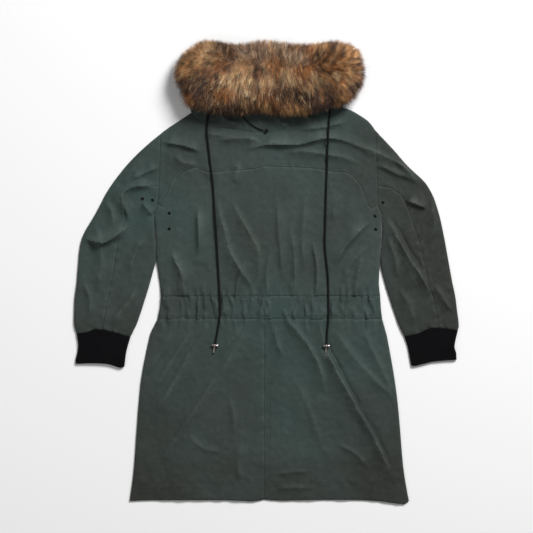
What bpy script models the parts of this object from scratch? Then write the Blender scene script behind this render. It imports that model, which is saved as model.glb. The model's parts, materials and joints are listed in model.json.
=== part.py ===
"""A fur trimmed parka laid flat with its back up and its hood drawn out above the shoulders.

Each cut piece is a wall of cloth of its own. The fronts lie on the ground, the back lies on them,
and each sleeve and cuff is a flattened tube. +X is the wearer's right, +Y runs from hem to hood and
+Z is up. The origin is on the ground at the middle of the coat's box. Tables are in millimetres.
"""

import math
from collections import namedtuple

import bmesh
import bpy
from mathutils import Vector
from mathutils.bvhtree import BVHTree

MM = 0.001

# Driving sizes
CLOTH = 2.0  # wall of the shell cloth with its seam allowances pressed inside
RIB = 2.5  # wall of the knitted cuffs
PLACKET = 2.6  # the front placket is doubled cloth
SEAM_GAP = 0.3  # between two pieces sewn together
BACK_TOP = 6.5  # outer face of the back where it lies plain
HOOD_TOP = 9.0  # outer face of the hood where it goes under the fur
CUFF_TOP = 7.0
HEM_Y = -574.0
CASING_LOW_Y, CASING_HIGH_Y = -119.0, -62.0
PLACKET_HALF = 30.0
FRONT_NECK_Y = 318.0
HOOD_SIDE_X, HOOD_FAR_Y = 60.0, 488.0
ARM_Y = 143.0  # where the sleeve, the side and the underarm meet
SIDE_GAP = 1.2  # between a sleeve and the side of the body that it lies against

# A rolled edge, where one cloth turns under into the next
ROLL_TOP, ROLL_BACK_LOW = 3.7, 2.4
ROLL_FRONT_TOP, ROLL_FRONT_LOW = 2.1, 0.6
ROLL_TUBE_LOW = 1.0
ROLL_INSIDE_TOP, ROLL_INSIDE_LOW = 2.8, 1.9
ROLL_INSET = 1.8
RING = 5.0  # how far in from its edge a piece is at full height
STEP = 26.0  # between the points of a curved edge

CELL = 64.0  # widest cell of a panel's mesh
FINE_CELL = 52.0
TUCK_SHARE = 0.6  # how much of a fold's height its inner face follows
GATHER_PITCH, GATHER_HEIGHT = 13.0, 2.4
GATHER_UNEVEN, GATHER_TURN = 0.3, 2.4  # share of its height that a gather varies by, and how fast
FOLD_ENDS = 5.0  # a fold reaches its height within one over this share of its length
FOLD_CUT = 1.3  # reach of the mesh lines of a fold, over its width
HOOD_RISE = 25.0  # distance from the neck over which the cloth rises to the hood
MITRE = 0.4  # least cosine that a corner is mitred to
INSET_SHARE = 0.4  # of the edge beside a rolled corner, the most that its inner face draws in
FRONT_CELL, PLACKET_CELL = 120.0, 150.0
FRONT_HEM_UP = 3.0  # the fronts end this far above the back hem

FUR_REACH = 86.0  # height of the fur over the ground
FUR_SLOPE = 78.0  # how far in from its edge the fur is at full height
FUR_LIP = 4.0
FUR_CELL, FUR_RING = 30.0, 8.0
FUR_DIP_X, FUR_DIP_WIDE, FUR_DIP = 10.0, 70.0, 0.14  # the ruff is lower at the middle by this share
FUR_OVER_HOOD = 16.0
FUR_STEP_X, FUR_STEP_Y, FUR_SHOULDER_Y, FUR_STEP = 200.0, 494.0, 418.0, 9.0

CORD_D, ADJUSTER_D = 4.5, 2.6
CORD_CLEAR = 0.35
CORD_STEP, ADJUSTER_STEP, CURVE_SAMPLES = 10.5, 6.0, 24
LOCK_R, LOCK_LONG = 4.0, 15.0
TIP_R, TIP_LONG = 2.6, 15.0
EYELET_R, EYELET_TUBE = 3.4, 0.9
EYELET_SIDES, EYELET_TUBE_SIDES = 14, 6
STOPPER_R, STOPPER_HIGH, STOPPER_FOOT, STOPPER_BEVEL = 4.5, 6.0, 0.8, 1.5

Section = namedtuple("Section", "y left right")
BODY = (
    Section(ARM_Y, -280, 288),
    Section(85, -277, 287),
    Section(29, -275, 284),
    Section(-30, -267, 281),
    Section(CASING_HIGH_Y, -264, 284),
    Section(CASING_LOW_Y, -272, 289),
    Section(-152, -289, 299),
    Section(-255, -311, 318),
    Section(-347, -321, 330),
    Section(-488, -331, 342),
    Section(HEM_Y, -342, 356),
)

# Each row crosses the sleeve from its outer edge over the elbow seam to its inner edge.
# The rows with no inner_x lie against the side of the body.
SleeveRow = namedtuple("SleeveRow", "outer_x outer_y seam_x seam_y inner_x inner_y")
LEFT_SLEEVE = (
    SleeveRow(-265, 343, -270, 213, None, ARM_Y),
    SleeveRow(-288, 325, -300, 212, None, 125),
    SleeveRow(-339, 277, -338, 209, None, 108),
    SleeveRow(-388, 216, -359, 187, None, 88),
    SleeveRow(-427, 146, -352, 128, None, 60),
    SleeveRow(-464, 75, -370, 80, None, 28),
    SleeveRow(-474, -22, -385, -11, -289, -22),
    SleeveRow(-480, -70, -398, -70, -303, -70),
    SleeveRow(-481, -133, -406, -118, -324, -132),
    SleeveRow(-475, -155, -414, -146, -340, -164),
)
RIGHT_SLEEVE = (
    SleeveRow(272, 352, 277, 215, None, ARM_Y),
    SleeveRow(307, 316, 312, 208, None, 115),
    SleeveRow(354, 263, 337, 190, None, 98),
    SleeveRow(403, 214, 352, 160, None, 78),
    SleeveRow(428, 155, 366, 120, None, 48),
    SleeveRow(444, 86, 378, 85, None, 20),
    SleeveRow(464, -22, 401, -8, 293, -22),
    SleeveRow(474, -75, 417, -70, 309, -75),
    SleeveRow(481, -134, 427, -118, 329, -132),
    SleeveRow(478, -148, 426, -142, 344, -163),
)
LEFT_ARMPIT, RIGHT_ARMPIT = (-272, 168), (278, 165)

# Seams as the points of their curves
NECK_LEFT = ((-188, 396), (-176, 383), (-146, 362), (-102, 357), (-60, 352))
NECK_MIDDLE = ((-60, 352), (0, 346), (60, 362))
NECK_RIGHT = ((60, 362), (110, 374), (160, 386), (190, 409))
SHOULDER_LEFT = ((-188, 396), (-252, 354), (-265, 343))
SHOULDER_RIGHT = ((272, 352), (256, 374), (211, 403), (190, 409))
YOKE_LEFT = ((-258, 160), (-249, 176), (-238, 198), (-230, 221), (-219, 241), (-200, 252), (-178, 260))
YOKE_MIDDLE = ((-178, 260), (-146, 248), (-31, 256), (-8, 262), (110, 258), (156, 250), (196, 248))
YOKE_RIGHT = ((196, 248), (214, 239), (233, 218), (244, 195), (254, 166), (262, 157))
CENTRE_BACK_X, NOTCH_Y = -6, -566
HEM_LEFT = ((-342, HEM_Y), (-277, -572), (-112, -572), (-35, -575), (-12, -572), (CENTRE_BACK_X, NOTCH_Y))
HEM_RIGHT = (
    (CENTRE_BACK_X, NOTCH_Y), (4, -571), (35, -573), (162, -571), (264, -573), (344, -582), (356, HEM_Y),
)

CUFF_LEFT = {
    "seam": ((-340, -164), (-397, -148), (-431, -145), (-448, -152), (-475, -155)),
    "outer": ((-475, -155), (-471, -180), (-472, -200), (-477, -220), (-477, -231)),
    "mouth": ((-477, -231), (-437, -230), (-397, -232), (-365, -241), (-355, -238)),
    "inner": ((-355, -238), (-350, -200), (-340, -164)),
}
CUFF_RIGHT = {
    "seam": ((478, -148), (442, -142), (410, -142), (382, -154), (344, -163)),
    "inner": ((344, -163), (352, -186), (356, -206), (361, -234)),
    "mouth": ((361, -234), (367, -237), (415, -226), (475, -221)),
    "outer": ((475, -221), (474, -204), (470, -188), (478, -148)),
}

FUR = (
    (-202, 405), (-160, 392), (-87, 382), (-20, 389), (40, 382), (100, 383), (154, 399), (205, 412),
    (226, 428), (246, 458), (250, 503), (236, 555), (206, 573), (174, 580), (120, 573), (68, 573),
    (-7, 582), (-74, 572), (-120, 579), (-154, 582), (-191, 565), (-218, 540), (-235, 495), (-233, 476),
    (-220, 447), (-210, 424),
)

Fold = namedtuple("Fold", "name height width route")
FOLDS = (
    Fold("skirt_right_long", 6.0, 15, ((116, -122), (141, -207), (233, -373), (326, -534))),
    Fold("skirt_right_short", 4.0, 13, ((40, -122), (72, -149), (122, -229), (150, -300))),
    Fold("skirt_left_long", 3.5, 20, ((-70, -150), (-150, -300), (-262, -500))),
    Fold("skirt_left_side", 3.0, 20, ((-150, -150), (-215, -280), (-300, -440))),
    Fold("back_left_sweep", 4.5, 16, ((-128, 190), (-108, 84), (-84, 22), (-40, -50))),
    Fold("back_middle_sweep", 3.5, 15, ((-92, 190), (-58, 114), (-28, 60), (-24, -50))),
    Fold("back_right_upright", 3.0, 15, ((26, 180), (34, 46), (46, -45))),
    Fold("back_left_side", 3.5, 16, ((-178, 170), (-176, 60), (-150, -10))),
    Fold("back_right_side", 4.0, 16, ((262, 122), (206, 68), (164, 4))),
    Fold("yoke_right", 4.5, 14, ((-60, 296), (84, 312), (148, 327), (208, 316), (264, 296))),
    Fold("yoke_left", 4.0, 14, ((-254, 318), (-205, 312), (-158, 290))),
    Fold("yoke_under_hood", 3.5, 12, ((-127, 323), (-54, 327), (-8, 320))),
    Fold("sleeve_left_elbow", 6.0, 16, ((-452, 86), (-408, 76), (-366, 104))),
    Fold("sleeve_left_under", 5.0, 15, ((-346, 196), (-346, 168), (-322, 128))),
    Fold("sleeve_left_low", 3.5, 14, ((-326, -30), (-352, -82), (-384, -128))),
    Fold("sleeve_right_under", 6.0, 16, ((306, 140), (330, 90), (362, 20), (396, -70))),
    Fold("sleeve_right_elbow", 4.5, 14, ((350, 184), (398, 164))),
    Fold("sleeve_right_head", 3.5, 14, ((296, 288), (350, 244), (396, 190))),
)

LEFT_CORD = (
    (-143, 401), (-148, 380), (-149, 352), (-141, 275), (-134, 218), (-130, 156), (-126, 100), (-123, 49),
    (-119, -22), (-116, -78), (-117, -118), (-122, -148), (-128, -181),
)
RIGHT_CORD = (
    (158, 403), (157, 380), (155, 350), (153, 316), (151, 254), (149, 204), (147, 120), (146, 61),
    (153, -7), (155, -70), (155, -114), (152, -147), (150, -182),
)
ADJUSTER = ((-66, 392), (-48, 374), (-24, 358), (-6.5, 351.5))
STOPPER_AT = (0, 351)
EYELETS = (
    ("left_1", -310, 181), ("left_2", -285, 178), ("left_3", -243, 145), ("left_4", -243, 106),
    ("right_1", 291, 172), ("right_2", 271, 138), ("right_3", 273, 105),
)

OPEN, ROLLED = "open", "rolled"


def material(name, colour, roughness, metallic=0.0):
    made = bpy.data.materials.new(name)
    made.use_nodes = True
    shader = made.node_tree.nodes["Principled BSDF"]
    shader.inputs["Base Color"].default_value = (*colour, 1.0)
    shader.inputs["Roughness"].default_value = roughness
    shader.inputs["Metallic"].default_value = metallic
    return made


def add_object(name, bm, dressed):
    """An object of this mesh, shaded smooth, with one material."""
    bmesh.ops.triangulate(bm, faces=bm.faces[:])
    mesh = bpy.data.meshes.new(name)
    bm.to_mesh(mesh)
    bm.free()
    mesh.shade_smooth()
    mesh.set_sharp_from_angle(angle=math.radians(40))
    mesh.materials.append(dressed)
    made = bpy.data.objects.new(name, mesh)
    bpy.context.collection.objects.link(made)
    return made


# Outlines


def curved(points, step=STEP):
    """The points of a smooth curve through these ones, no further apart than step."""
    points = [Vector(p) for p in points]
    ends = [points[0] * 2 - points[1], *points, points[-1] * 2 - points[-2]]
    found = []
    for a, b, c, d in zip(ends, ends[1:], ends[2:], ends[3:]):
        count = max(1, round((c - b).length / step))
        for i in range(count):
            t = i / count
            found.append(0.5 * (2 * b + (c - a) * t + (2 * a - 5 * b + 4 * c - d) * t ** 2
                                + (3 * b - a - 3 * c + d) * t ** 3))
    return [*found, points[-1]]


def side_curve(side):
    """The body's side edge as a smooth curve through its sections, from the arm down to the hem."""
    return curved([(getattr(section, side), section.y) for section in BODY])


def side_x(y, side):
    """The x of the body's side edge at this height."""
    curve = side_curve(side)
    for above, below in zip(curve, curve[1:]):
        if above.y >= y >= below.y:
            return above.lerp(below, (above.y - y) / (above.y - below.y)).x
    return curve[0].x


def side_points(side, high, low):
    """The body's side edge from one height down to another."""
    between = [tuple(p) for p in side_curve(side) if high - 1 > p.y > low + 1]
    return [(side_x(high, side), high), *between, (side_x(low, side), low)]


def run(points, kind):
    """The points of a stretch of outline, each with the kind of edge that starts there, but the last."""
    return [(Vector(point), kind) for point in points[:-1]]


def outline_of(*runs):
    """One closed outline that goes round anticlockwise, from stretches that meet end to end."""
    corners = [corner for stretch in runs for corner in stretch]
    area = sum(a.cross(b) for (a, _), (b, _) in zip(corners, corners[1:] + corners[:1]))
    if area < 0:
        kinds = [kind for _, kind in corners]
        points = [point for point, _ in corners][::-1]
        kinds = (kinds[:-1])[::-1] + kinds[-1:]
        corners = list(zip(points, kinds))
    return corners


def shrunk(outline, by):
    """The outline moved inward all round, which leaves the gap of a seam beside it."""
    moved = []
    for i, (point, kind) in enumerate(outline):
        before = (point - outline[i - 1][0]).normalized()
        after = (outline[(i + 1) % len(outline)][0] - point).normalized()
        inward = before.orthogonal() + after.orthogonal()
        scale = by / max(MITRE, 1 + before.dot(after))
        moved.append((point + inward * scale, kind))
    return moved


def edges_of(outline):
    """Each edge of an outline as its two ends and its kind."""
    following = outline[1:] + outline[:1]
    return [(a, b, kind) for (a, kind), (b, _) in zip(outline, following)]


def along(point, a, b):
    """How far this point is from the line between two others, and the share of the line passed there."""
    line = b - a
    share = min(1.0, max(0.0, (point - a).dot(line) / line.length_squared))
    return (point - a - line * share).length, share


def nearest_edge(point, outline):
    return min(edges_of(outline), key=lambda edge: along(point, edge[0], edge[1])[0])


# Heights of the outer faces


def fold_height(x, y):
    """How far the largest fold here rises: a tent over its route that fades out at both ends."""
    point = Vector((x, y))
    highest = 0.0
    for fold in FOLDS:
        route = [Vector(p) for p in fold.route]
        lengths = [(b - a).length for a, b in zip(route, route[1:])]
        passed = 0.0
        for a, b, length in zip(route, route[1:], lengths):
            away, share = along(point, a, b)
            reached = (passed + share * length) / sum(lengths)
            passed += length
            if away < fold.width:
                fade = min(1.0, FOLD_ENDS * reached, FOLD_ENDS * (1 - reached))
                highest = max(highest, fold.height * fade * (1 - away / fold.width))
    return highest


def gather_height(x):
    """The gathers of the waist casing: every other upright line stands up, unevenly."""
    step = round(x / GATHER_PITCH)
    even = 1 - GATHER_UNEVEN
    return GATHER_HEIGHT * (even + GATHER_UNEVEN * math.sin(step * GATHER_TURN)) if step % 2 else 0.0


def body_top(x, y):
    return BACK_TOP + fold_height(x, y)


def casing_top(x, y):
    inside = CASING_LOW_Y + RING - 1 < y < CASING_HIGH_Y - RING + 1
    return BACK_TOP + (gather_height(x) if inside else 0.0)


def hood_top(x, y):
    """The hood rises from the neck seam to where it goes under the fur."""
    line = [Vector(p) for p in (*NECK_LEFT, *NECK_MIDDLE[1:], *NECK_RIGHT[1:])]
    neck = min(along(Vector((x, y)), a, b)[0] for a, b in zip(line, line[1:]))
    return BACK_TOP + (HOOD_TOP - BACK_TOP) * min(1.0, neck / HOOD_RISE)


def fur_top(x, y):
    """The fur swells from its outline to its full reach, a little lower between its two lobes."""
    point = Vector((x, y))
    rim = [Vector(p) for p in (*FUR, FUR[0])]
    away = min(along(point, a, b)[0] for a, b in zip(rim, rim[1:]))
    share = min(1.0, away / FUR_SLOPE)
    swell = math.sqrt(max(0.0, 1 - (1 - share) ** 2))
    low = fur_under(x, y) + FUR_LIP
    dip = 1 - FUR_DIP * math.exp(-((x - FUR_DIP_X) / FUR_DIP_WIDE) ** 2)
    return low + (FUR_REACH * dip - low) * swell


def fur_under(x, y):
    """The fur lies over the hood and the shoulders, and on the ground beyond them."""
    beyond_far = (y - FUR_STEP_Y) / FUR_STEP
    beyond_side = min((abs(x) - FUR_STEP_X) / FUR_STEP, (y - FUR_SHOULDER_Y) / FUR_STEP)
    return FUR_OVER_HOOD * (1 - min(1.0, max(0.0, beyond_far, beyond_side)))


# Meshes of the pieces


def cut(bm, faces, at, normal):
    """Cuts these faces along an upright plane."""
    edges = {edge for face in faces for edge in face.edges}
    verts = {vert for face in faces for vert in face.verts}
    bmesh.ops.bisect_plane(
        bm, geom=[*faces, *edges, *verts], dist=1e-4, plane_co=(*at, 0), plane_no=(*normal, 0)
    )


def cells_of(outline, cell, ring=RING, upright=()):
    """The outline as a flat mesh in cells, with a ring inside its edge and cuts along the folds."""
    bm = bmesh.new()
    face = bm.faces.new([bm.verts.new((*point, 0)) for point, _ in outline])
    face.normal_update()
    bmesh.ops.inset_region(bm, faces=[face], thickness=ring, use_even_offset=True, use_boundary=True)
    points = [point for point, _ in outline]
    low = [min(p[axis] for p in points) for axis in (0, 1)]
    high = [max(p[axis] for p in points) for axis in (0, 1)]
    for x in upright:
        cut(bm, bm.faces[:], (x, 0), (1, 0))
    for axis in (0, 1):
        if axis == 0 and upright:
            continue
        count = math.ceil((high[axis] - low[axis]) / cell)
        for i in range(1, count):
            at = [0, 0]
            at[axis] = low[axis] + (high[axis] - low[axis]) * i / count
            cut(bm, bm.faces[:], at, (1 - axis, axis))
    return bm


def cut_folds(bm, names):
    """Cuts along the crest and both feet of each fold, only near it."""
    for fold in FOLDS:
        if not fold.name.startswith(names):
            continue
        for a, b in zip(fold.route, fold.route[1:]):
            a, b = Vector(a), Vector(b)
            across = (b - a).normalized().orthogonal()
            for offset in (-fold.width, 0, fold.width):
                reach = fold.width * FOLD_CUT
                near = [f for f in bm.faces if min(
                    along(v.co.xy, a, b)[0] for v in f.verts) < reach]
                if near:
                    cut(bm, near, a + across * offset, across)


def boundary(bm, outline):
    """The mesh's outer edges as ordered pairs of corners, with the kind of outline each lies on."""
    found = []
    for edge in bm.edges:
        if len(edge.link_faces) == 1:
            loop = edge.link_loops[0]
            a, b = loop.vert, loop.link_loop_next.vert
            middle = (a.co.xy + b.co.xy) / 2
            found.append((a.index, b.index, nearest_edge(middle, outline)[2]))
    return found


def rolled_corners(rim):
    return {i for a, b, kind in rim if kind == ROLLED for i in (a, b)}


def solid_from(layers, faces, walls):
    """A closed mesh in metres. A face is its layer and corner numbers, and walls are quads between layers."""
    bm = bmesh.new()
    made = [[bm.verts.new(Vector(p) * MM) for p in layer] for layer in layers]
    for layer, corners in faces:
        bm.faces.new([made[layer][i] for i in corners])
    for quad in walls:
        bm.faces.new([made[layer][i] for layer, i in quad])
    return bm


def sheet(name, outline, dressed, top, low, edge_heights, cell=CELL, folds=(), upright=(), ring=RING):
    """A single wall of cloth between two heights, with its rolled edges turned to edge_heights."""
    outline = shrunk(outline, SEAM_GAP / 2)
    flat = cells_of(outline, cell, ring, upright)
    cut_folds(flat, folds)
    flat.verts.index_update()
    rim = boundary(flat, outline)
    rolled = rolled_corners(rim)
    upper, lower = [], []
    for vert in flat.verts:
        x, y = vert.co.xy
        heights = edge_heights if vert.index in rolled else (top(x, y), low(x, y))
        upper.append((x, y, heights[0]))
        lower.append((x, y, heights[1]))
    corners = [[v.index for v in face.verts] for face in flat.faces]
    flat.free()
    faces = [(0, c) for c in corners] + [(1, c[::-1]) for c in corners]
    walls = [((0, b), (0, a), (1, a), (1, b)) for a, b, _ in rim]
    return add_object(name, solid_from((upper, lower), faces, walls), dressed)


def inset_corner(index, points, rim):
    """Where the inner face's corner goes at a rolled edge: inward, along the open edge at its end."""
    point = points[index]
    for a, b, kind in rim:
        if kind == OPEN and index in (a, b):
            other = points[b if index == a else a]
            line = other - point
            return point + line.normalized() * min(ROLL_INSET, INSET_SHARE * line.length)
    inward = Vector((0, 0))
    for a, b, kind in rim:
        if index in (a, b):
            inward += (points[b] - points[a]).normalized().orthogonal()
    return point + inward.normalized() * ROLL_INSET


def flat_tube(name, outline, dressed, top, wall, folds=(), cell=FINE_CELL, upright=()):
    """Half or all of a flattened tube: an upper and a lower wall that are one cloth at rolled edges."""
    outline = shrunk(outline, SEAM_GAP / 2)
    flat = cells_of(outline, cell, RING, upright)
    cut_folds(flat, folds)
    flat.verts.index_update()
    rim = boundary(flat, outline)
    rolled = rolled_corners(rim)
    points = [v.co.xy.copy() for v in flat.verts]
    layers = [[], [], [], []]
    for index, point in enumerate(points):
        x, y = point
        if index in rolled:
            inner = inset_corner(index, points, rim)
            rows = (
                (point, ROLL_TOP), (inner, ROLL_INSIDE_TOP), (inner, ROLL_INSIDE_LOW), (point, ROLL_TUBE_LOW),
            )
        else:
            high = top(x, y)
            under = high - wall - (1 - TUCK_SHARE) * fold_height(x, y)
            rows = ((point, high), (point, under), (point, wall), (point, 0.0))
        for layer, (place, height) in zip(layers, rows):
            layer.append((*place, height))
    corners = [[v.index for v in face.verts] for face in flat.faces]
    flat.free()
    faces = [(0, c) for c in corners] + [(1, c[::-1]) for c in corners]
    faces += [(2, c) for c in corners] + [(3, c[::-1]) for c in corners]
    walls = []
    for a, b, kind in rim:
        if kind == OPEN:
            walls.append(((0, b), (0, a), (1, a), (1, b)))
            walls.append(((2, b), (2, a), (3, a), (3, b)))
        else:
            walls.append(((0, b), (0, a), (3, a), (3, b)))
            walls.append(((1, a), (1, b), (2, b), (2, a)))
    following = {a: kind for a, _, kind in rim}
    for _, corner, kind in rim:
        if kind != following[corner]:
            turn = (0, 1, 2, 3) if kind == OPEN else (3, 2, 1, 0)
            walls.append([(layer, corner) for layer in turn])
    return add_object(name, solid_from(layers, faces, walls), dressed)


def back_low(x, y):
    return BACK_TOP - CLOTH + TUCK_SHARE * fold_height(x, y)


def back_piece(name, dressed, folds, *runs):
    """One piece of the back, whose sides roll over to the fronts."""
    edge_heights = (ROLL_TOP, ROLL_BACK_LOW)
    return sheet(name, outline_of(*runs), dressed, body_top, back_low, edge_heights, folds=folds)


def make_back(shell):
    """The yoke with its two arms, the back panel, the waist casing and the two skirt panels."""
    armhole_left = ((-265, 343), (-270, 213), LEFT_ARMPIT)
    armhole_right = (RIGHT_ARMPIT, (277, 215), (272, 352))
    yoke = back_piece(
        "back_yoke", shell, ("yoke",),
        run(curved(SHOULDER_LEFT), ROLLED),
        run(armhole_left, OPEN),
        run((LEFT_ARMPIT, YOKE_LEFT[0]), OPEN),
        run(curved(YOKE_LEFT), OPEN),
        run(curved(YOKE_MIDDLE), OPEN),
        run(curved(YOKE_RIGHT), OPEN),
        run((YOKE_RIGHT[-1], RIGHT_ARMPIT), OPEN),
        run(armhole_right, OPEN),
        run(curved(SHOULDER_RIGHT), ROLLED),
        run(curved(NECK_RIGHT)[::-1], OPEN),
        run(curved(NECK_MIDDLE)[::-1], OPEN),
        run(curved(NECK_LEFT)[::-1], OPEN),
    )
    left = side_points("left", ARM_Y, CASING_HIGH_Y)
    right = side_points("right", ARM_Y, CASING_HIGH_Y)
    panel = back_piece(
        "back_panel", shell, ("back",),
        run((YOKE_LEFT[0], LEFT_ARMPIT, left[0]), OPEN),
        run(left, ROLLED),
        run((left[-1], right[-1]), OPEN),
        run(right[::-1], ROLLED),
        run((right[0], RIGHT_ARMPIT, YOKE_RIGHT[-1]), OPEN),
        run(curved(YOKE_RIGHT)[::-1], OPEN),
        run(curved(YOKE_MIDDLE)[::-1], OPEN),
        run(curved(YOKE_LEFT)[::-1], OPEN),
    )
    left = side_points("left", CASING_HIGH_Y, CASING_LOW_Y)
    right = side_points("right", CASING_HIGH_Y, CASING_LOW_Y)
    first = math.ceil((left[0][0] + RING) / GATHER_PITCH)
    last = math.floor((right[0][0] - RING) / GATHER_PITCH)
    casing = sheet(
        "waist_casing",
        outline_of(
            run(left, ROLLED),
            run((left[-1], right[-1]), OPEN),
            run(right[::-1], ROLLED),
            run((right[0], left[0]), OPEN),
        ),
        shell,
        casing_top,
        lambda x, y: BACK_TOP - CLOTH,
        (ROLL_TOP, ROLL_BACK_LOW),
        cell=2 * CELL,
        upright=[i * GATHER_PITCH for i in range(first, last + 1)],
    )
    middle, notch = (CENTRE_BACK_X, CASING_LOW_Y), (CENTRE_BACK_X, NOTCH_Y)
    left = side_points("left", CASING_LOW_Y, HEM_Y)
    right = side_points("right", CASING_LOW_Y, HEM_Y)
    skirt_left = back_piece(
        "skirt_back_left", shell, ("skirt_left",),
        run(left, ROLLED),
        run(curved(HEM_LEFT), OPEN),
        run((notch, middle), OPEN),
        run((middle, left[0]), OPEN),
    )
    skirt_right = back_piece(
        "skirt_back_right", shell, ("skirt_right",),
        run((middle, notch), OPEN),
        run(curved(HEM_RIGHT), OPEN),
        run(right[::-1], ROLLED),
        run((right[0], middle), OPEN),
    )
    return [yoke, panel, casing, skirt_left, skirt_right]


def make_fronts(shell):
    """The two fronts and the placket between them, flat on the ground."""
    hem_y = HEM_Y + FRONT_HEM_UP
    made = []
    for side, sign, armhole, neck, shoulder in (
        ("left", -1, ((-265, 343), (-270, 213), LEFT_ARMPIT), NECK_LEFT, SHOULDER_LEFT),
        ("right", 1, ((272, 352), (277, 215), RIGHT_ARMPIT), NECK_RIGHT[::-1], SHOULDER_RIGHT[::-1]),
    ):
        edge = side_points(side, ARM_Y, hem_y)
        centre = sign * PLACKET_HALF
        outline = outline_of(
            run(curved(shoulder), ROLLED),
            run((*armhole, edge[0]), OPEN),
            run(edge, ROLLED),
            run((edge[-1], (centre, hem_y)), OPEN),
            run(((centre, hem_y), (centre, FRONT_NECK_Y)), OPEN),
            run(((centre, FRONT_NECK_Y), neck[-1]), OPEN),
            run(curved(neck)[::-1], OPEN),
        )
        made.append(sheet(
            f"front_{side}", outline, shell, lambda x, y: CLOTH, lambda x, y: 0.0,
            (ROLL_FRONT_TOP, ROLL_FRONT_LOW), cell=FRONT_CELL,
        ))
    corners = [
        (-PLACKET_HALF, hem_y), (PLACKET_HALF, hem_y),
        (PLACKET_HALF, FRONT_NECK_Y), (-PLACKET_HALF, FRONT_NECK_Y),
    ]
    placket = outline_of(run((*corners, corners[0]), OPEN))
    made.append(sheet(
        "front_placket", placket, shell, lambda x, y: PLACKET, lambda x, y: 0.0, (0, 0), cell=PLACKET_CELL,
    ))
    return made


def make_sleeve(side, rows, armpit, shell):
    """The outer and the inner piece of one sleeve, which meet at the elbow seam and under the arm."""
    sign = -1 if side == "left" else 1
    outer = curved([(row.outer_x, row.outer_y) for row in rows])
    seam = curved([(row.seam_x, row.seam_y) for row in rows])
    inner = []
    for row in rows:
        x = side_x(row.inner_y, side) + sign * SIDE_GAP if row.inner_x is None else row.inner_x
        inner.append((x, row.inner_y))
    inner = curved(inner)
    names = (f"sleeve_{side}",)
    cuff = CUFF_LEFT["seam"] if side == "left" else CUFF_RIGHT["seam"][::-1]
    mid = [p for p in cuff[1:-1] if abs(p[0]) > abs(seam[-1][0]) + 3]
    low = [p for p in cuff[1:-1] if abs(p[0]) < abs(seam[-1][0]) - 3]
    outer_piece = outline_of(
        run(outer, ROLLED), run((outer[-1], *mid[::-1], seam[-1]), OPEN),
        run(seam[::-1], OPEN), run((seam[0], outer[0]), OPEN),
    )
    inner_piece = outline_of(
        run(seam, OPEN), run((seam[-1], *low[::-1], inner[-1]), OPEN),
        run(inner[::-1], ROLLED), run((inner[0], armpit, seam[0]), OPEN),
    )
    return [
        flat_tube(f"sleeve_{side}_outer", outer_piece, shell, body_top, CLOTH, names),
        flat_tube(f"sleeve_{side}_inner", inner_piece, shell, body_top, CLOTH, names),
    ]


def make_cuff(side, runs, rib):
    outline = outline_of(*[
        run(points if name == "seam" else curved(points), OPEN if name in ("seam", "mouth") else ROLLED)
        for name, points in runs.items()
    ])
    return flat_tube(f"cuff_{side}", outline, rib, lambda x, y: CUFF_TOP, RIB)


def make_hood(shell):
    """The middle and the two sides of the hood, from the neck seam to under the fur."""
    side, far = HOOD_SIDE_X, HOOD_FAR_Y
    left = outline_of(
        run(curved(NECK_LEFT), OPEN),
        run((NECK_LEFT[-1], (-side, far)), OPEN),
        run(curved(((-side, far), (-165, 484), (-194, 462), (-195, 425), NECK_LEFT[0])), ROLLED),
    )
    right = outline_of(
        run(curved(NECK_RIGHT), OPEN),
        run(curved((NECK_RIGHT[-1], (195, 430), (194, 462), (165, 484), (side, far))), ROLLED),
        run(((side, far), NECK_RIGHT[0]), OPEN),
    )
    middle = outline_of(
        run(curved(NECK_MIDDLE), OPEN),
        run((NECK_MIDDLE[-1], (side, far), (-side, far), NECK_MIDDLE[0]), OPEN),
    )
    return [
        flat_tube("hood_left", left, shell, hood_top, CLOTH),
        flat_tube("hood_right", right, shell, hood_top, CLOTH),
        sheet("hood_middle", middle, shell, hood_top, lambda x, y: hood_top(x, y) - CLOTH, (0, 0)),
    ]


def make_fur(fur):
    """The fur of the hood's edge as one plain swelling solid of its reach."""
    outline = outline_of(run(curved((*FUR, FUR[0])), OPEN))
    flat = cells_of(outline, FUR_CELL, FUR_RING, ())
    for at, normal in (
        ((-FUR_STEP_X, 0), (1, 0)), ((-FUR_STEP_X - FUR_STEP, 0), (1, 0)),
        ((FUR_STEP_X, 0), (1, 0)), ((FUR_STEP_X + FUR_STEP, 0), (1, 0)),
        ((0, FUR_STEP_Y), (0, 1)), ((0, FUR_STEP_Y + FUR_STEP), (0, 1)),
    ):
        cut(flat, flat.faces[:], at, normal)
    flat.verts.index_update()
    rim = boundary(flat, outline)
    upper = [(v.co.x, v.co.y, fur_top(v.co.x, v.co.y)) for v in flat.verts]
    lower = [(v.co.x, v.co.y, fur_under(v.co.x, v.co.y)) for v in flat.verts]
    corners = [[v.index for v in face.verts] for face in flat.faces]
    flat.free()
    faces = [(0, c) for c in corners] + [(1, c[::-1]) for c in corners]
    walls = [((0, b), (0, a), (1, a), (1, b)) for a, b, _ in rim]
    return add_object("fur_ruff", solid_from((upper, lower), faces, walls), fur)


# What lies on the cloth


def surface_reader(objects):
    """A function that gives the height of the uppermost cloth near a place, in millimetres."""
    trees = []
    for item in objects:
        mesh = item.data
        trees.append(BVHTree.FromPolygons(
            [v.co for v in mesh.vertices], [tuple(p.vertices) for p in mesh.polygons]))

    def height(x, y, reach):
        found = []
        for dx, dy in ((0, 0), (reach, 0), (-reach, 0), (0, reach), (0, -reach)):
            start = Vector(((x + dx) * MM, (y + dy) * MM, 1.0))
            for tree in trees:
                hit = tree.ray_cast(start, Vector((0, 0, -1)))[0]
                if hit:
                    found.append(hit.z / MM)
        return max(found, default=0.0)

    return height


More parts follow.
